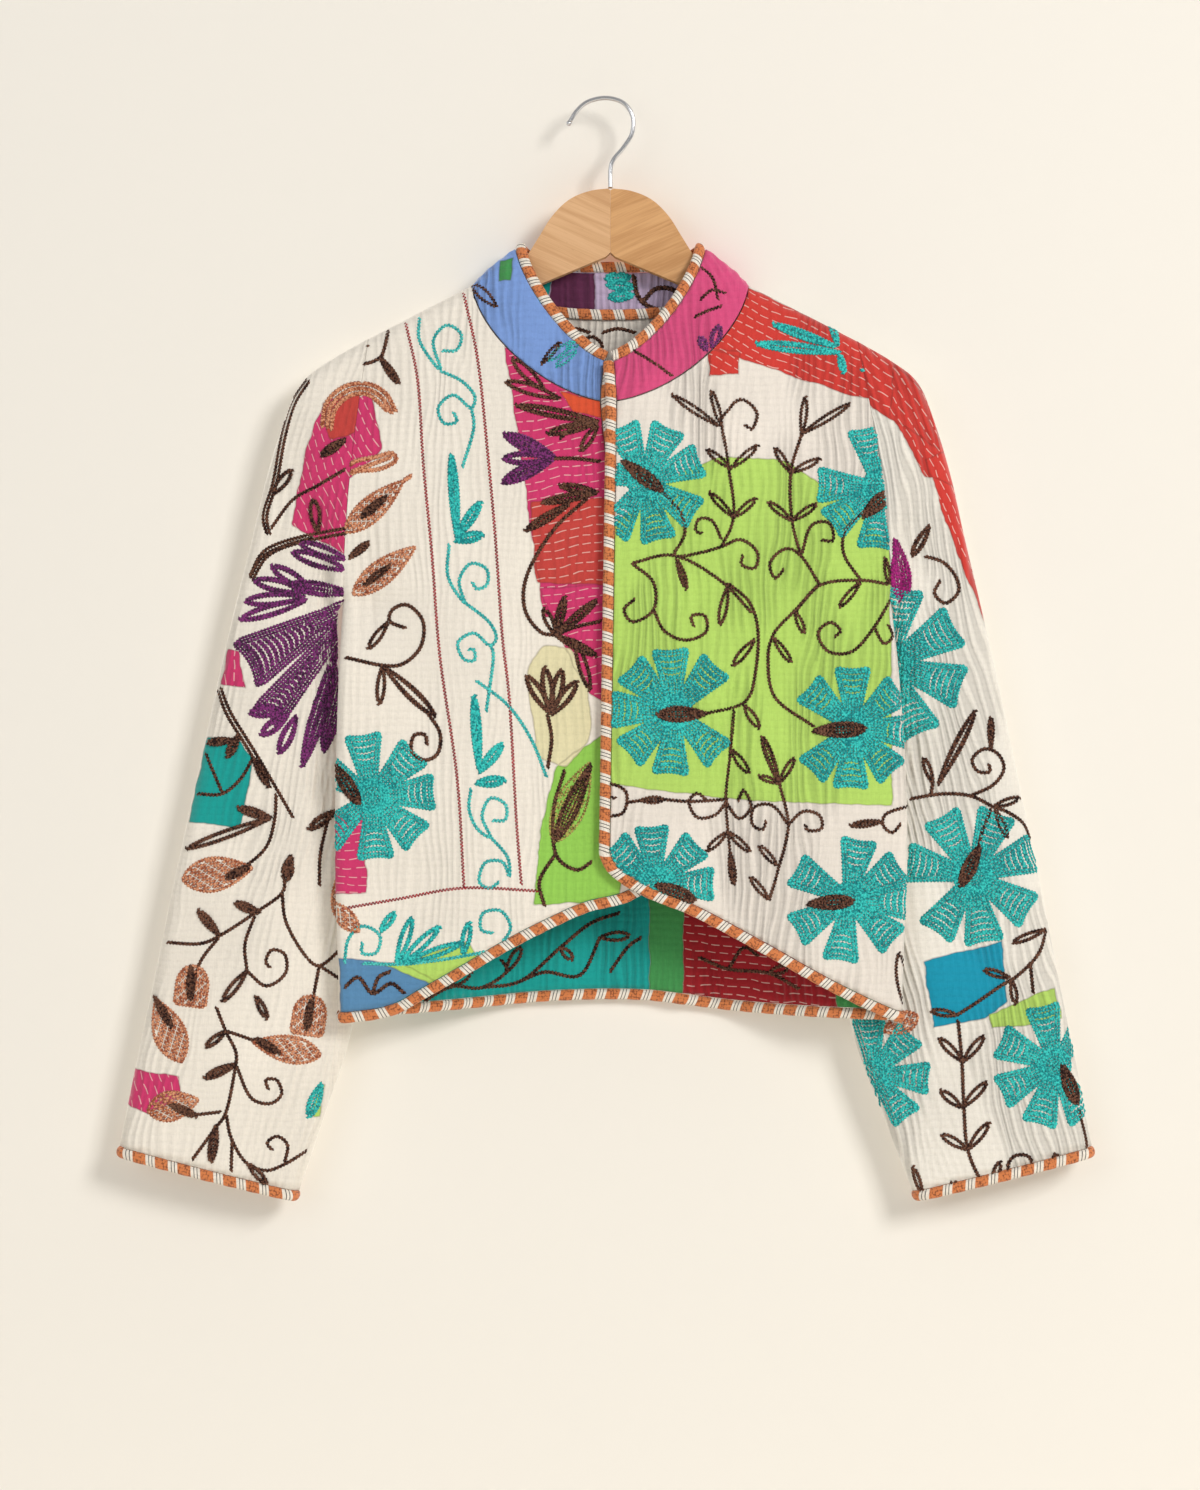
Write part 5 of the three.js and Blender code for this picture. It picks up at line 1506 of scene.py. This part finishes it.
# %% Motifs of the left front
LEFT_FRONT_FLOWERS = [  # middle, reach in millimetres, the petals' directions
    ((644, 484), 52, (112, 66, 22, -32, -76, -122, 165)),
    ((878, 488), 53, (103, 58, 2, -48, -94, -142, 178)),
    ((674, 712), 54, (94, 48, -44, -94, -138, 178, 136)),
    ((851, 728), 52, (90, 40, -4, -48, -92, -134, 138)),
    ((655, 883), 50, (94, 44, 0, -46, -96, 172, 136)),
    ((847, 899), 53, (80, 34, -2, -42, -98, -150, 150)),
]
LEFT_FRONT_PODS = [
    (622, 463, 662, 493, 11, 2), (862, 518, 888, 493, 11, 2), (705, 714, 657, 715, 12, 2),
    (812, 731, 864, 729, 12, 2), (655, 883, 694, 899, 11, 2), (806, 903, 852, 900, 11, 2),
]
LEFT_FRONT_STEMS = [
    (721, 426, 728, 468, 733, 517, 721, 548), (801, 435, 790, 474, 791, 522, 800, 557),
    (719, 422, 739, 401, 756, 413, 752, 430, 744, 426),
    (660, 492, 680, 514, 684, 536, 674, 557, 700, 554, 721, 548), (631, 565, 674, 557, 720, 582, 751, 614),
    (721, 548, 740, 541, 756, 553, 754, 569, 741, 566, 742, 556),
    (721, 541, 711, 522, 698, 521, 695, 532, 702, 535), (862, 513, 844, 532, 843, 556, 860, 581),
    (793, 614, 819, 586, 860, 581, 888, 585), (819, 586, 800, 557, 784, 550, 769, 564, 774, 579, 783, 570),
    (801, 554, 810, 527, 828, 524, 832, 541, 820, 541),
    (633, 566, 653, 584, 653, 611, 633, 623, 624, 611, 635, 600),
    (653, 611, 664, 632, 685, 641, 705, 633, 704, 617, 691, 617, 693, 628),
    (727, 584, 749, 604, 757, 634, 754, 676, 743, 703, 705, 714),
    (819, 584, 794, 611, 773, 634, 767, 660, 774, 698, 813, 727),
    (891, 598, 873, 628, 851, 652, 827, 652, 817, 634, 829, 623, 839, 631, 833, 638),
    (873, 628, 882, 644, 891, 637, 887, 625), (733, 710, 730, 749, 725, 793, 727, 831, 732, 880),
    (778, 783, 787, 824, 778, 865, 768, 899), (604, 816, 623, 812, 626, 792, 611, 784, 607, 795, 616, 798),
    (627, 802, 640, 800), (663, 799, 690, 801, 727, 799),
    (727, 799, 715, 814, 697, 817, 688, 802, 696, 793, 705, 799),
    (725, 802, 738, 818, 750, 807, 743, 790, 737, 801),
    (787, 824, 771, 805, 753, 807, 751, 823, 761, 829, 765, 820),
    (787, 824, 802, 811, 818, 815, 820, 828, 807, 830, 804, 824),
    (909, 805, 885, 813, 881, 824, 890, 832, 899, 823),
]
LEFT_FRONT_LEAVES = [
    (719, 428, 672, 397), (721, 428, 711, 392), (801, 437, 805, 398), (801, 435, 850, 404),
    (730, 470, 706, 451), (730, 470, 757, 447), (733, 519, 709, 494), (733, 519, 755, 500),
    (790, 474, 774, 449), (790, 474, 819, 460), (791, 522, 767, 503), (791, 522, 816, 505),
    (676, 560, 686, 590, 6, 1), (860, 582, 838, 608), (884, 558, 888, 584, 5), (727, 587, 719, 626, 7),
    (754, 640, 732, 666, 7), (743, 705, 758, 728, 7), (794, 612, 803, 634), (772, 638, 790, 663),
    (730, 749, 748, 773, 7), (727, 831, 706, 850), (727, 831, 749, 851), (729, 850, 733, 884, 6, 1),
    (778, 783, 761, 736, 7, 1), (778, 783, 758, 776, 5), (778, 783, 793, 758), (776, 865, 758, 845),
    (768, 899, 749, 876), (640, 800, 663, 799, 6, 1), (881, 821, 849, 825, 6, 1), (902, 1004, 897, 952, 9),
]
LEFT_FRONT_TEAL = [
    (840, 352, 757, 344, 8, 1), (836, 346, 774, 324, 7, 1), (838, 344, 832, 318, 5), (840, 354, 844, 372, 5),
    (862, 369, 901, 379, 6, 1),
]

# %% Motifs of the right front
RIGHT_FRONT_RED = [
    (405, 321, 418, 382, 424, 465, 433, 557, 441, 658, 458, 777, 465, 887),
    (463, 291, 478, 361, 488, 452, 496, 539, 503, 638, 510, 700, 517, 820, 522, 884),
    (342, 908, 400, 898, 465, 887, 540, 890),
]
RIGHT_FRONT_TEAL_STEMS = [
    (419, 316, 420, 342, 441, 371, 433, 342, 446, 325, 461, 334, 457, 350, 442, 351),
    (442, 372, 462, 382, 475, 397, 471, 409, 454, 396, 439, 408, 444, 424, 457, 423, 454, 413),
    (472, 409, 474, 431, 463, 469),
    (450, 545, 449, 578, 465, 603, 460, 582, 471, 565, 487, 570, 488, 585, 478, 590, 473, 583),
    (465, 603, 489, 622, 497, 638, 490, 646, 475, 634, 459, 643, 464, 659, 475, 661, 475, 651, 469, 650),
    (491, 645, 494, 660, 487, 712),
    (472, 788, 470, 809, 478, 828, 491, 836, 483, 816, 491, 798, 506, 804, 506, 819, 493, 820),
    (491, 836, 508, 856, 510, 875, 503, 861, 486, 862, 480, 880, 490, 887, 500, 881),
    (477, 681, 509, 706, 532, 740, 547, 777),
    (346, 962, 350, 938, 364, 925, 381, 934, 378, 951, 364, 952, 364, 941),
    (364, 962, 400, 963, 430, 960, 462, 955, 494, 947, 511, 928, 502, 910, 484, 912, 482, 928, 494, 932),
]
RIGHT_FRONT_TEAL_LEAVES = [
    (458, 540, 452, 456, 7, 1), (458, 538, 481, 504, 8, 1), (456, 542, 483, 536, 8, 1),
    (480, 770, 475, 697, 7, 1), (480, 772, 503, 744, 8, 1), (477, 783, 505, 780, 8, 1),
    (398, 962, 413, 917, 8), (402, 962, 440, 926, 8), (406, 962, 462, 942, 7), (382, 930, 396, 912),
    (464, 953, 470, 922, 7),
]
RIGHT_FRONT_BROWN_STEMS = [
    (388, 329, 384, 348, 379, 358, 363, 363, 351, 353, 357, 343, 368, 346),
    (407, 629, 391, 622, 394, 610, 409, 606, 424, 622, 422, 647, 405, 664, 384, 666, 347, 658),
    (428, 712, 441, 733, 439, 753, 426, 760, 413, 752, 415, 736, 426, 735, 428, 745),
    (300, 397, 330, 380, 350, 353), (588, 499, 554, 531, 528, 575, 525, 609, 540, 632, 556, 636),
    (556, 636, 575, 628, 601, 622), (598, 423, 575, 428, 560, 440), (554, 460, 576, 460, 600, 463),
    (565, 770, 554, 809, 556, 853, 576, 869, 592, 861), (556, 853, 540, 880, 545, 905),
    (548, 715, 552, 740, 548, 768), (346, 986, 360, 976, 374, 992, 392, 982, 406, 992),
    (374, 992, 380, 976, 392, 970),
]
RIGHT_FRONT_BROWN_LEAVES = [
    (380, 357, 399, 384, 6, 1), (300, 397, 318, 375), (389, 623, 370, 649, 7), (384, 666, 381, 704, 7),
    (386, 668, 436, 716, 10, 1), (350, 559, 370, 543, 6, 1), (598, 423, 517, 407, 8, 1),
    (598, 424, 548, 435, 8, 1), (598, 426, 581, 452, 7), (560, 400, 506, 383, 9), (545, 392, 513, 360, 9),
    (598, 494, 560, 487, 7, 1), (598, 494, 542, 504, 7, 1), (570, 505, 526, 532, 7, 1),
    (556, 636, 565, 598, 7, 1), (556, 636, 597, 601, 7, 1), (556, 636, 544, 610, 7),
    (556, 636, 596, 656, 7, 1), (591, 764, 556, 840, 13, 2), (575, 640, 590, 690, 8),
]
RIGHT_FRONT_FLOWERS = [((373, 796), 54, (98, 46, 4, -42, -86, -138, 150))]
RIGHT_FRONT_PURPLE = [(554, 458, 505, 436, 11, 2), (554, 460, 503, 484, 11, 2), (550, 460, 504, 460, 10, 1)]
RIGHT_FRONT_BLOOM = [
    (552, 715, 527, 676, 10, 1), (552, 715, 545, 668, 10, 1), (552, 715, 562, 670, 10, 1),
    (552, 715, 577, 682, 10, 1),
]
RIGHT_FRONT_COPPER = [(404, 482, 346, 533, 20), (416, 548, 354, 595, 20), (330, 900, 360, 930, 14)]
COPPER_ARCS = [
    (322, 427, 327, 402, 345, 386, 368, 384, 386, 394, 396, 412),
    (327, 428, 331, 406, 347, 391, 366, 389, 382, 398, 392, 414),
    (331, 430, 335, 410, 349, 396, 366, 394, 378, 402, 388, 412),
    (346, 478, 358, 472, 380, 470, 396, 462, 392, 454, 376, 458, 356, 462, 346, 470),
    (348, 474, 370, 466, 392, 458), (404, 482, 412, 477),
]
COPPER_SPINES = [(388, 497, 362, 518, 6, 1), (392, 566, 366, 585, 5)]

# %% Motifs of the sleeves
LEFT_SLEEVE_FLOWERS = [
    ((889, 664), 67, (80, 30, -18, -66, -112, 130, 180)),
    ((973, 876), 59, (118, 68, 20, -32, -80, -124, 168)),
    ((874, 1075), 48, (48, -4, -52, -95, 95)), ((1056, 1066), 53, (102, 156, 206, 254, 300, 50)),
]
LEFT_SLEEVE_PODS = [(980, 846, 961, 886, 11, 2), (1063, 1066, 1078, 1105, 11, 2)]
LEFT_SLEEVE_STEMS = [
    (925, 556, 944, 562, 957, 577, 959, 592, 946, 603, 935, 593, 941, 580),
    (910, 799, 942, 794, 971, 796, 994, 807, 1008, 812, 1025, 824, 1033, 842),
    (971, 796, 994, 785, 1005, 769, 999, 754, 985, 749, 973, 759, 978, 771, 990, 772, 990, 764),
    (992, 750, 992, 718), (933, 783, 931, 796), (992, 809, 983, 831, 979, 845),
    (1048, 930, 1039, 955, 1018, 976, 1001, 986, 976, 1003, 957, 1015), (1031, 963, 1034, 994),
    (958, 1020, 962, 1062, 964, 1106, 968, 1150, 983, 1186),
    (1036, 1174, 1029, 1157, 1015, 1156, 1008, 1166, 1014, 1176), (1080, 1110, 1088, 1148, 1080, 1166),
]
LEFT_SLEEVE_LEAVES = [
    (938, 785, 976, 711, 8, 1), (933, 783, 924, 758), (992, 748, 992, 717, 5, 1), (994, 807, 1021, 798),
    (996, 810, 1008, 838), (1047, 930, 1013, 943), (957, 1015, 931, 1011), (1010, 978, 984, 970),
    (1012, 980, 1016, 1004), (963, 1062, 939, 1038, 7), (963, 1062, 984, 1036, 7), (962, 1108, 941, 1091, 7),
    (962, 1108, 987, 1082, 7), (968, 1150, 942, 1135, 7), (968, 1150, 989, 1123, 7), (993, 1182, 1000, 1162),
    (1057, 1170, 1056, 1154), (924, 1198, 914, 1168, 5), (972, 1188, 952, 1184), (930, 525, 912, 556, 8, 1),
]
LEFT_SLEEVE_PURPLE = [(894, 540, 908, 592, 12, 2), (893, 560, 900, 600, 10, 2)]
RIGHT_SLEEVE_STEMS = [
    (249, 577, 262, 556, 285, 545, 312, 538), (270, 528, 292, 500, 318, 486, 346, 470),
    (266, 534, 262, 514, 272, 482, 280, 436, 290, 402, 306, 378),
    (269, 534, 266, 514, 276, 482, 284, 438, 294, 404, 309, 380), (248, 576, 264, 550, 300, 537, 348, 529),
    (251, 580, 268, 555, 302, 542, 348, 534), (219, 687, 230, 713, 252, 748, 274, 785, 293, 818),
    (216, 690, 226, 715, 248, 750, 270, 788), (195, 794, 221, 794, 240, 779, 252, 759), (204, 753, 221, 792),
    (276, 794, 274, 822, 264, 850, 232, 876), (328, 817, 320, 854, 319, 886),
    (284, 874, 282, 893, 255, 913, 221, 935, 199, 944, 165, 943), (219, 937, 199, 964, 191, 1000),
    (282, 893, 286, 922, 303, 953, 319, 966, 340, 950), (319, 966, 340, 980), (319, 966, 307, 1028),
    (255, 915, 245, 944, 247, 971), (247, 971, 266, 986, 285, 974, 285, 955, 272, 950, 266, 961, 270, 968),
    (216, 1007, 226, 1032, 236, 1053, 234, 1075, 226, 1112, 214, 1130, 192, 1160),
    (226, 1031, 252, 1040, 270, 1049),
    (236, 1065, 250, 1097, 269, 1104, 281, 1095, 277, 1081, 266, 1080, 268, 1090), (221, 1112, 196, 1115),
    (226, 1114, 231, 1138, 245, 1162, 265, 1171, 284, 1165, 306, 1152),
    (284, 1164, 287, 1146, 277, 1137, 267, 1143, 272, 1151), (232, 1140, 231, 1172), (232, 742, 208, 742),
]
RIGHT_SLEEVE_LEAVES = [
    (272, 494, 291, 470, 8), (318, 532, 314, 500, 9), (346, 440, 322, 456, 7, 1), (232, 740, 206, 743, 6, 1),
    (238, 735, 227, 757, 7, 1), (253, 758, 268, 786), (271, 818, 186, 849, 7), (271, 818, 238, 808, 7, 1),
    (290, 856, 288, 880, 7, 1), (335, 811, 309, 829, 8, 1), (292, 856, 284, 876, 7, 1),
    (260, 913, 235, 903, 7, 1), (219, 935, 198, 911, 7, 1), (247, 971, 223, 1001, 7), (256, 996, 267, 1018),
    (226, 1031, 206, 1047), (236, 1064, 205, 1078, 7, 1), (216, 1126, 211, 1162, 7, 1),
    (248, 1164, 266, 1184), (250, 866, 226, 878, 6, 1), (153, 997, 171, 1027, 6, 1),
    (170, 1105, 196, 1116, 6, 1), (255, 1038, 279, 1053, 6, 1), (191, 966, 190, 1000, 6, 1),
    (311, 1000, 306, 1030, 6, 1),
]
RIGHT_SLEEVE_COPPER = [
    (252, 868, 181, 880, 28), (154, 1000, 181, 1062, 27), (253, 1042, 320, 1056, 22),
    (198, 1100, 147, 1112, 24), (336, 880, 344, 924, 15), (194, 966, 189, 1006, 27, True),
    (312, 996, 306, 1035, 27, True),
]
RIGHT_SLEEVE_PURPLE = [
    (348, 571, 292, 552, 11, 1), (347, 560, 300, 543, 10, 1), (352, 594, 288, 584, 11, 2),
    (312, 590, 271, 566, 11, 1), (306, 592, 253, 580, 11, 1), (304, 597, 244, 601, 11, 1),
    (306, 600, 239, 619, 10, 1), (284, 710, 249, 713, 9, 1), (288, 714, 261, 735, 10, 1),
    (296, 716, 279, 753, 10, 1), (348, 640, 323, 752, 15, 3), (345, 628, 302, 766, 13, 3),
]
RIGHT_SLEEVE_PETALS = [  # root, tip, half widths at the foot and the end in millimetres, rows at the rim
    (351, 604, 241, 667, 5, 24, 3), (350, 614, 262, 722, 5, 15, 3),
]

# %% Motifs of the collar and of the back's inside
COLLAR_BROWN = [(497, 307, 472, 283, 9), (541, 366, 560, 344, 5)]
COLLAR_BROWN_STEMS = [
    (694, 262, 712, 276, 718, 300), (632, 352, 655, 366, 672, 378), (700, 300, 712, 290, 726, 293),
    (694, 318, 706, 312, 722, 306),
]
BAND_TEAL = [(631, 272, 606, 273, 8, 1), (636, 282, 607, 279, 8, 1), (634, 290, 609, 292, 8, 1)]
BAND_BROWN = [(634, 270, 638, 290, 652, 303, 676, 306), (644, 296, 656, 284, 672, 284, 682, 294)]
COLLAR_TEAL = [(577, 340, 548, 362, 7), (577, 352, 556, 368), (590, 338, 566, 350)]
COLLAR_PURPLE = [(712, 350, 719, 326, 9, 1), (706, 352, 700, 338, 7, 1)]
INSIDE_STEMS = [
    (420, 1004, 450, 988, 480, 990, 505, 975, 500, 962), (480, 990, 520, 984, 560, 950),
    (520, 984, 545, 975, 580, 978, 600, 940), (560, 950, 590, 926, 620, 915),
    (700, 960, 730, 972, 770, 975, 800, 990), (730, 972, 745, 950, 760, 958), (610, 975, 628, 950, 642, 940),
    (584, 352, 583, 338, 592, 332, 602, 340, 598, 352), (560, 327, 575, 324, 590, 328),
    (602, 328, 618, 324, 636, 328),
]
INSIDE_LEAVES = [
    (505, 975, 520, 950, 8), (560, 950, 572, 962, 7), (450, 988, 470, 974, 7), (600, 940, 630, 938, 8),
    (770, 975, 790, 968, 7),
]

# %% Motifs of the back
BACK_FLOWERS = [((520, 430), 54, range(10, 360, 52)), ((740, 640), 54, range(0, 360, 52)),
                ((430, 700), 52, range(20, 370, 52)), ((600, 860), 52, range(5, 360, 52)),
                ((810, 420), 50, range(15, 370, 52)), ((800, 870), 48, range(30, 390, 52))]
BACK_STEMS = [
    (560, 470, 600, 540, 610, 620, 580, 700, 480, 720), (610, 620, 660, 660, 700, 650),
    (600, 540, 650, 500, 700, 520, 690, 560, 660, 550), (580, 700, 600, 760, 600, 810),
    (600, 760, 660, 780, 720, 750, 750, 690), (480, 720, 470, 790, 510, 830, 550, 850),
    (470, 790, 430, 800, 410, 840, 440, 860, 450, 835), (780, 690, 800, 760, 800, 820),
    (800, 760, 840, 740, 860, 770, 840, 790), (560, 400, 640, 380, 720, 400, 760, 420),
    (640, 380, 650, 340, 690, 330, 700, 360, 675, 365), (480, 400, 430, 420, 400, 480),
    (430, 420, 410, 380, 380, 380, 375, 410, 395, 415), (410, 560, 420, 620, 430, 650),
]
BACK_LEAVES = [
    (600, 540, 570, 510, 7), (605, 580, 640, 570, 7), (608, 610, 575, 590, 7), (590, 690, 630, 700, 7),
    (530, 712, 520, 680, 7), (600, 740, 570, 740, 7), (660, 780, 670, 815, 7), (720, 750, 745, 775, 7),
    (470, 790, 440, 770, 7), (640, 380, 610, 350, 7), (680, 385, 700, 415, 7), (430, 420, 450, 455, 7),
    (400, 480, 380, 520, 9, 1), (415, 590, 440, 580, 7), (800, 740, 770, 735, 7),
]
BACK_COPPER = [
    (470, 560, 520, 610, 20), (660, 440, 620, 480, 20), (860, 600, 850, 660, 20), (400, 860, 350, 880, 20),
]

# %% Work the motifs
FULL = 1.34  # thicker thread, for the fillings
RAISED = 0.5  # millimetres a stitch stands higher where it was worked last
ON_TOP = 1.0


def leaves(table, work=leaf):
    return [work(entry[:4], *entry[4:]) for entry in table]


def stems(table):
    return [chain(spline(laid(squares), STEM_STEPS)) for squares in table]


def flowers(table):
    return [flower(*entry) for entry in table]


WORK = {  # by cloth: the piece's name, its thread, its motifs, the thread's size, how high it lies
    "left_front": (
        ("flowers", "teal", flowers(LEFT_FRONT_FLOWERS) + leaves(LEFT_FRONT_TEAL), FULL),
        ("vines", "brown", stems(LEFT_FRONT_STEMS) + leaves(LEFT_FRONT_LEAVES), 0.84, RAISED),
        ("pods", "brown", leaves(LEFT_FRONT_PODS), 1.15, ON_TOP)),
    "right_front": (
        ("rows", "red", stems(RIGHT_FRONT_RED), 0.68),
        ("teal", "teal", flowers(RIGHT_FRONT_FLOWERS) + leaves(RIGHT_FRONT_TEAL_LEAVES), FULL),
        ("scrolls", "aqua", stems(RIGHT_FRONT_TEAL_STEMS), 0.9),
        ("vines", "brown", stems(RIGHT_FRONT_BROWN_STEMS)
         + leaves(RIGHT_FRONT_BROWN_LEAVES + RIGHT_FRONT_BLOOM), 1.0, RAISED),
        ("pod", "brown", leaves([(335, 762, 361, 804, 11, 2)]), 1.0, ON_TOP),
        ("copper", "copper", leaves(RIGHT_FRONT_COPPER, filled_leaf) + stems(COPPER_ARCS), FULL),
        ("olive", "olive", leaves([(590, 762, 554, 842, 26)], filled_leaf), 1.05),
        ("spines", "brown", leaves(COPPER_SPINES), 1.0, ON_TOP),
        ("tulip", "purple", leaves(RIGHT_FRONT_PURPLE), FULL)),
    "left_sleeve": (
        ("flowers", "teal", flowers(LEFT_SLEEVE_FLOWERS), FULL),
        ("vines", "brown", stems(LEFT_SLEEVE_STEMS) + leaves(LEFT_SLEEVE_LEAVES), 0.95, RAISED),
        ("pods", "brown", leaves(LEFT_SLEEVE_PODS), 1.15, ON_TOP),
        ("copper", "copper", leaves([(884, 1032, 918, 1016, 17)], filled_leaf), FULL),
        ("petals", "plum", leaves(LEFT_SLEEVE_PURPLE), FULL)),
    "right_sleeve": (
        ("vines", "brown", stems(RIGHT_SLEEVE_STEMS), 0.95),
        ("leaves", "brown", leaves(RIGHT_SLEEVE_LEAVES), 1.08, ON_TOP),
        ("bloom", "purple", leaves(RIGHT_SLEEVE_PURPLE) + leaves(RIGHT_SLEEVE_PETALS, petal), 1.25),
        ("copper", "copper", stems(COPPER_ARCS[:3]) + leaves(RIGHT_SLEEVE_COPPER, filled_leaf), FULL),
        ("teal", "teal", leaves([(321, 1084, 308, 1118, 10, 2)]))),
    "back": (
        ("flowers", "teal", flowers(BACK_FLOWERS), FULL),
        ("vines", "brown", stems(BACK_STEMS) + leaves(BACK_LEAVES)),
        ("copper", "copper", leaves(BACK_COPPER, filled_leaf), FULL)),
    "inside": (("vines", "brown", stems(INSIDE_STEMS) + leaves(INSIDE_LEAVES)),),
    "collar": (
        ("vines", "brown", stems(COLLAR_BROWN_STEMS) + leaves(COLLAR_BROWN), 0.85),
        ("leaves", "teal", leaves(COLLAR_TEAL), 0.7),
        ("band_leaves", "teal", leaves(BAND_TEAL), FULL),
        ("band_vine", "brown", stems(BAND_BROWN), FULL, RAISED),
        ("buds", "purple", leaves(COLLAR_PURPLE))),
}
cloths = {name: made["piece"] for name, made in panels.items()}
cloths.update({name + "_sleeve": made["piece"] for name, made in sleeves.items()})
cloths["collar"] = collar
for place, works in WORK.items():
    cloth = cloths["back" if place == "inside" else place]
    for name, thread, motifs, *how in works:
        sew(place + "_" + name, cloth, THREADS[thread], motifs, place == "back", *how)
print("stitches:", sum(len(made.data.polygons) for made in sewn) // 8)
meshes = [made.data for made in bpy.data.objects if made.type == "MESH"]
print("triangles:", sum(len(face.vertices) - 2 for mesh in meshes for face in mesh.polygons))

# %% [markdown]
# The studio is a pale wall close behind the jacket, so that it catches the soft shadow, and a pale floor
# below. The wall shows only its front, so that the back of the jacket can be seen and lit as well.

# %% Stage and light
WALL_Y = 30
FLOOR_Z = -1290
STAGE_REACH = 2600
WALL_TOP = 1600


def stage_material(name, one_sided):
    tree, finish = new_material(name)
    if one_sided:
        share = named_output(tree, "NewGeometry", "Backfacing")
        share = share.maths("MAXIMUM", named_output(tree, "LightPath", "Is Shadow Ray"))
        paint = Wire(tree.nodes["Principled BSDF"].outputs[0])
        clear = named_output(tree, "BsdfTransparent", "BSDF")
        both = node(tree, "MixShader", _0=share, _1=paint, _2=clear)[0]
        feed(tree.nodes["Material Output"], {"Surface": both})
    return finish(Base_Color=rgb(238, 234, 226), Roughness=0.95, Specular_IOR_Level=0.1)


def area_light(name, place, aim, size, watts, colour):
    light = bpy.data.lights.new(name, "AREA")
    light.shape = "RECTANGLE"
    light.size, light.size_y = size
    light.energy = watts
    light.color = colour
    lamp = bpy.data.objects.new(name, light)
    lamp.location = place
    away = np.array(place) - np.array(aim)
    tilt = math.atan2(math.hypot(away[0], away[1]), away[2])
    lamp.rotation_euler = (tilt, 0, math.atan2(away[1], away[0]) + math.pi / 2)
    bpy.context.scene.collection.objects.link(lamp)


def stage_sheet(name, corners, one_sided):
    return add_mesh(name, corners, [[0, 1, 2, 3]], [stage_material(name + "_paint", one_sided)],
                    smooth_shading=False)


reach = STAGE_REACH
wall = stage_sheet("wall", [(-reach, WALL_Y, FLOOR_Z), (reach, WALL_Y, FLOOR_Z), (reach, WALL_Y, WALL_TOP),
                            (-reach, WALL_Y, WALL_TOP)], True)
floor = stage_sheet("floor", [(-reach, -reach, FLOOR_Z), (reach, -reach, FLOOR_Z), (reach, reach, FLOOR_Z),
                              (-reach, reach, FLOOR_Z)], False)

middle = (0, 0, -0.55)
area_light("key", (2.8, -4.0, 1.5), middle, (1.5, 1.5), 152, (1.0, 0.975, 0.945))
area_light("fill", (-2.4, -3.6, 0.4), middle, (2.4, 2.4), 27, (0.97, 0.98, 1.0))
area_light("back_key", (-1.3, 2.2, 0.4), middle, (1.4, 1.4), 40, (1.0, 0.98, 0.95))
area_light("back_fill", (1.6, 2.0, 0.0), middle, (1.8, 1.8), 22, (0.98, 0.98, 1.0))
world = bpy.data.worlds.new("studio")
world.use_nodes = True
world.node_tree.nodes["Background"].inputs[0].default_value = (1.0, 0.985, 0.96, 1)
world.node_tree.nodes["Background"].inputs[1].default_value = 0.4
bpy.context.scene.world = world

# %% [markdown]
# Last, each piece is attached to the body that carries it, and the solid it stands for, where it has one,
# is hidden.


def carry(piece, nodes):
    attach(piece, BODY)
    if nodes:
        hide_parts(*nodes)


for node_name, piece in cloths.items():
    carry(piece, [node_name])
for node_name, piece in bindings.items():
    carry(piece, [node_name])
for made in sewn:
    carry(made, [])
for name, arm in hanger_arms.items():
    carry(arm, [name + "_hanger_arm"])
carry(hook, ["hook"])
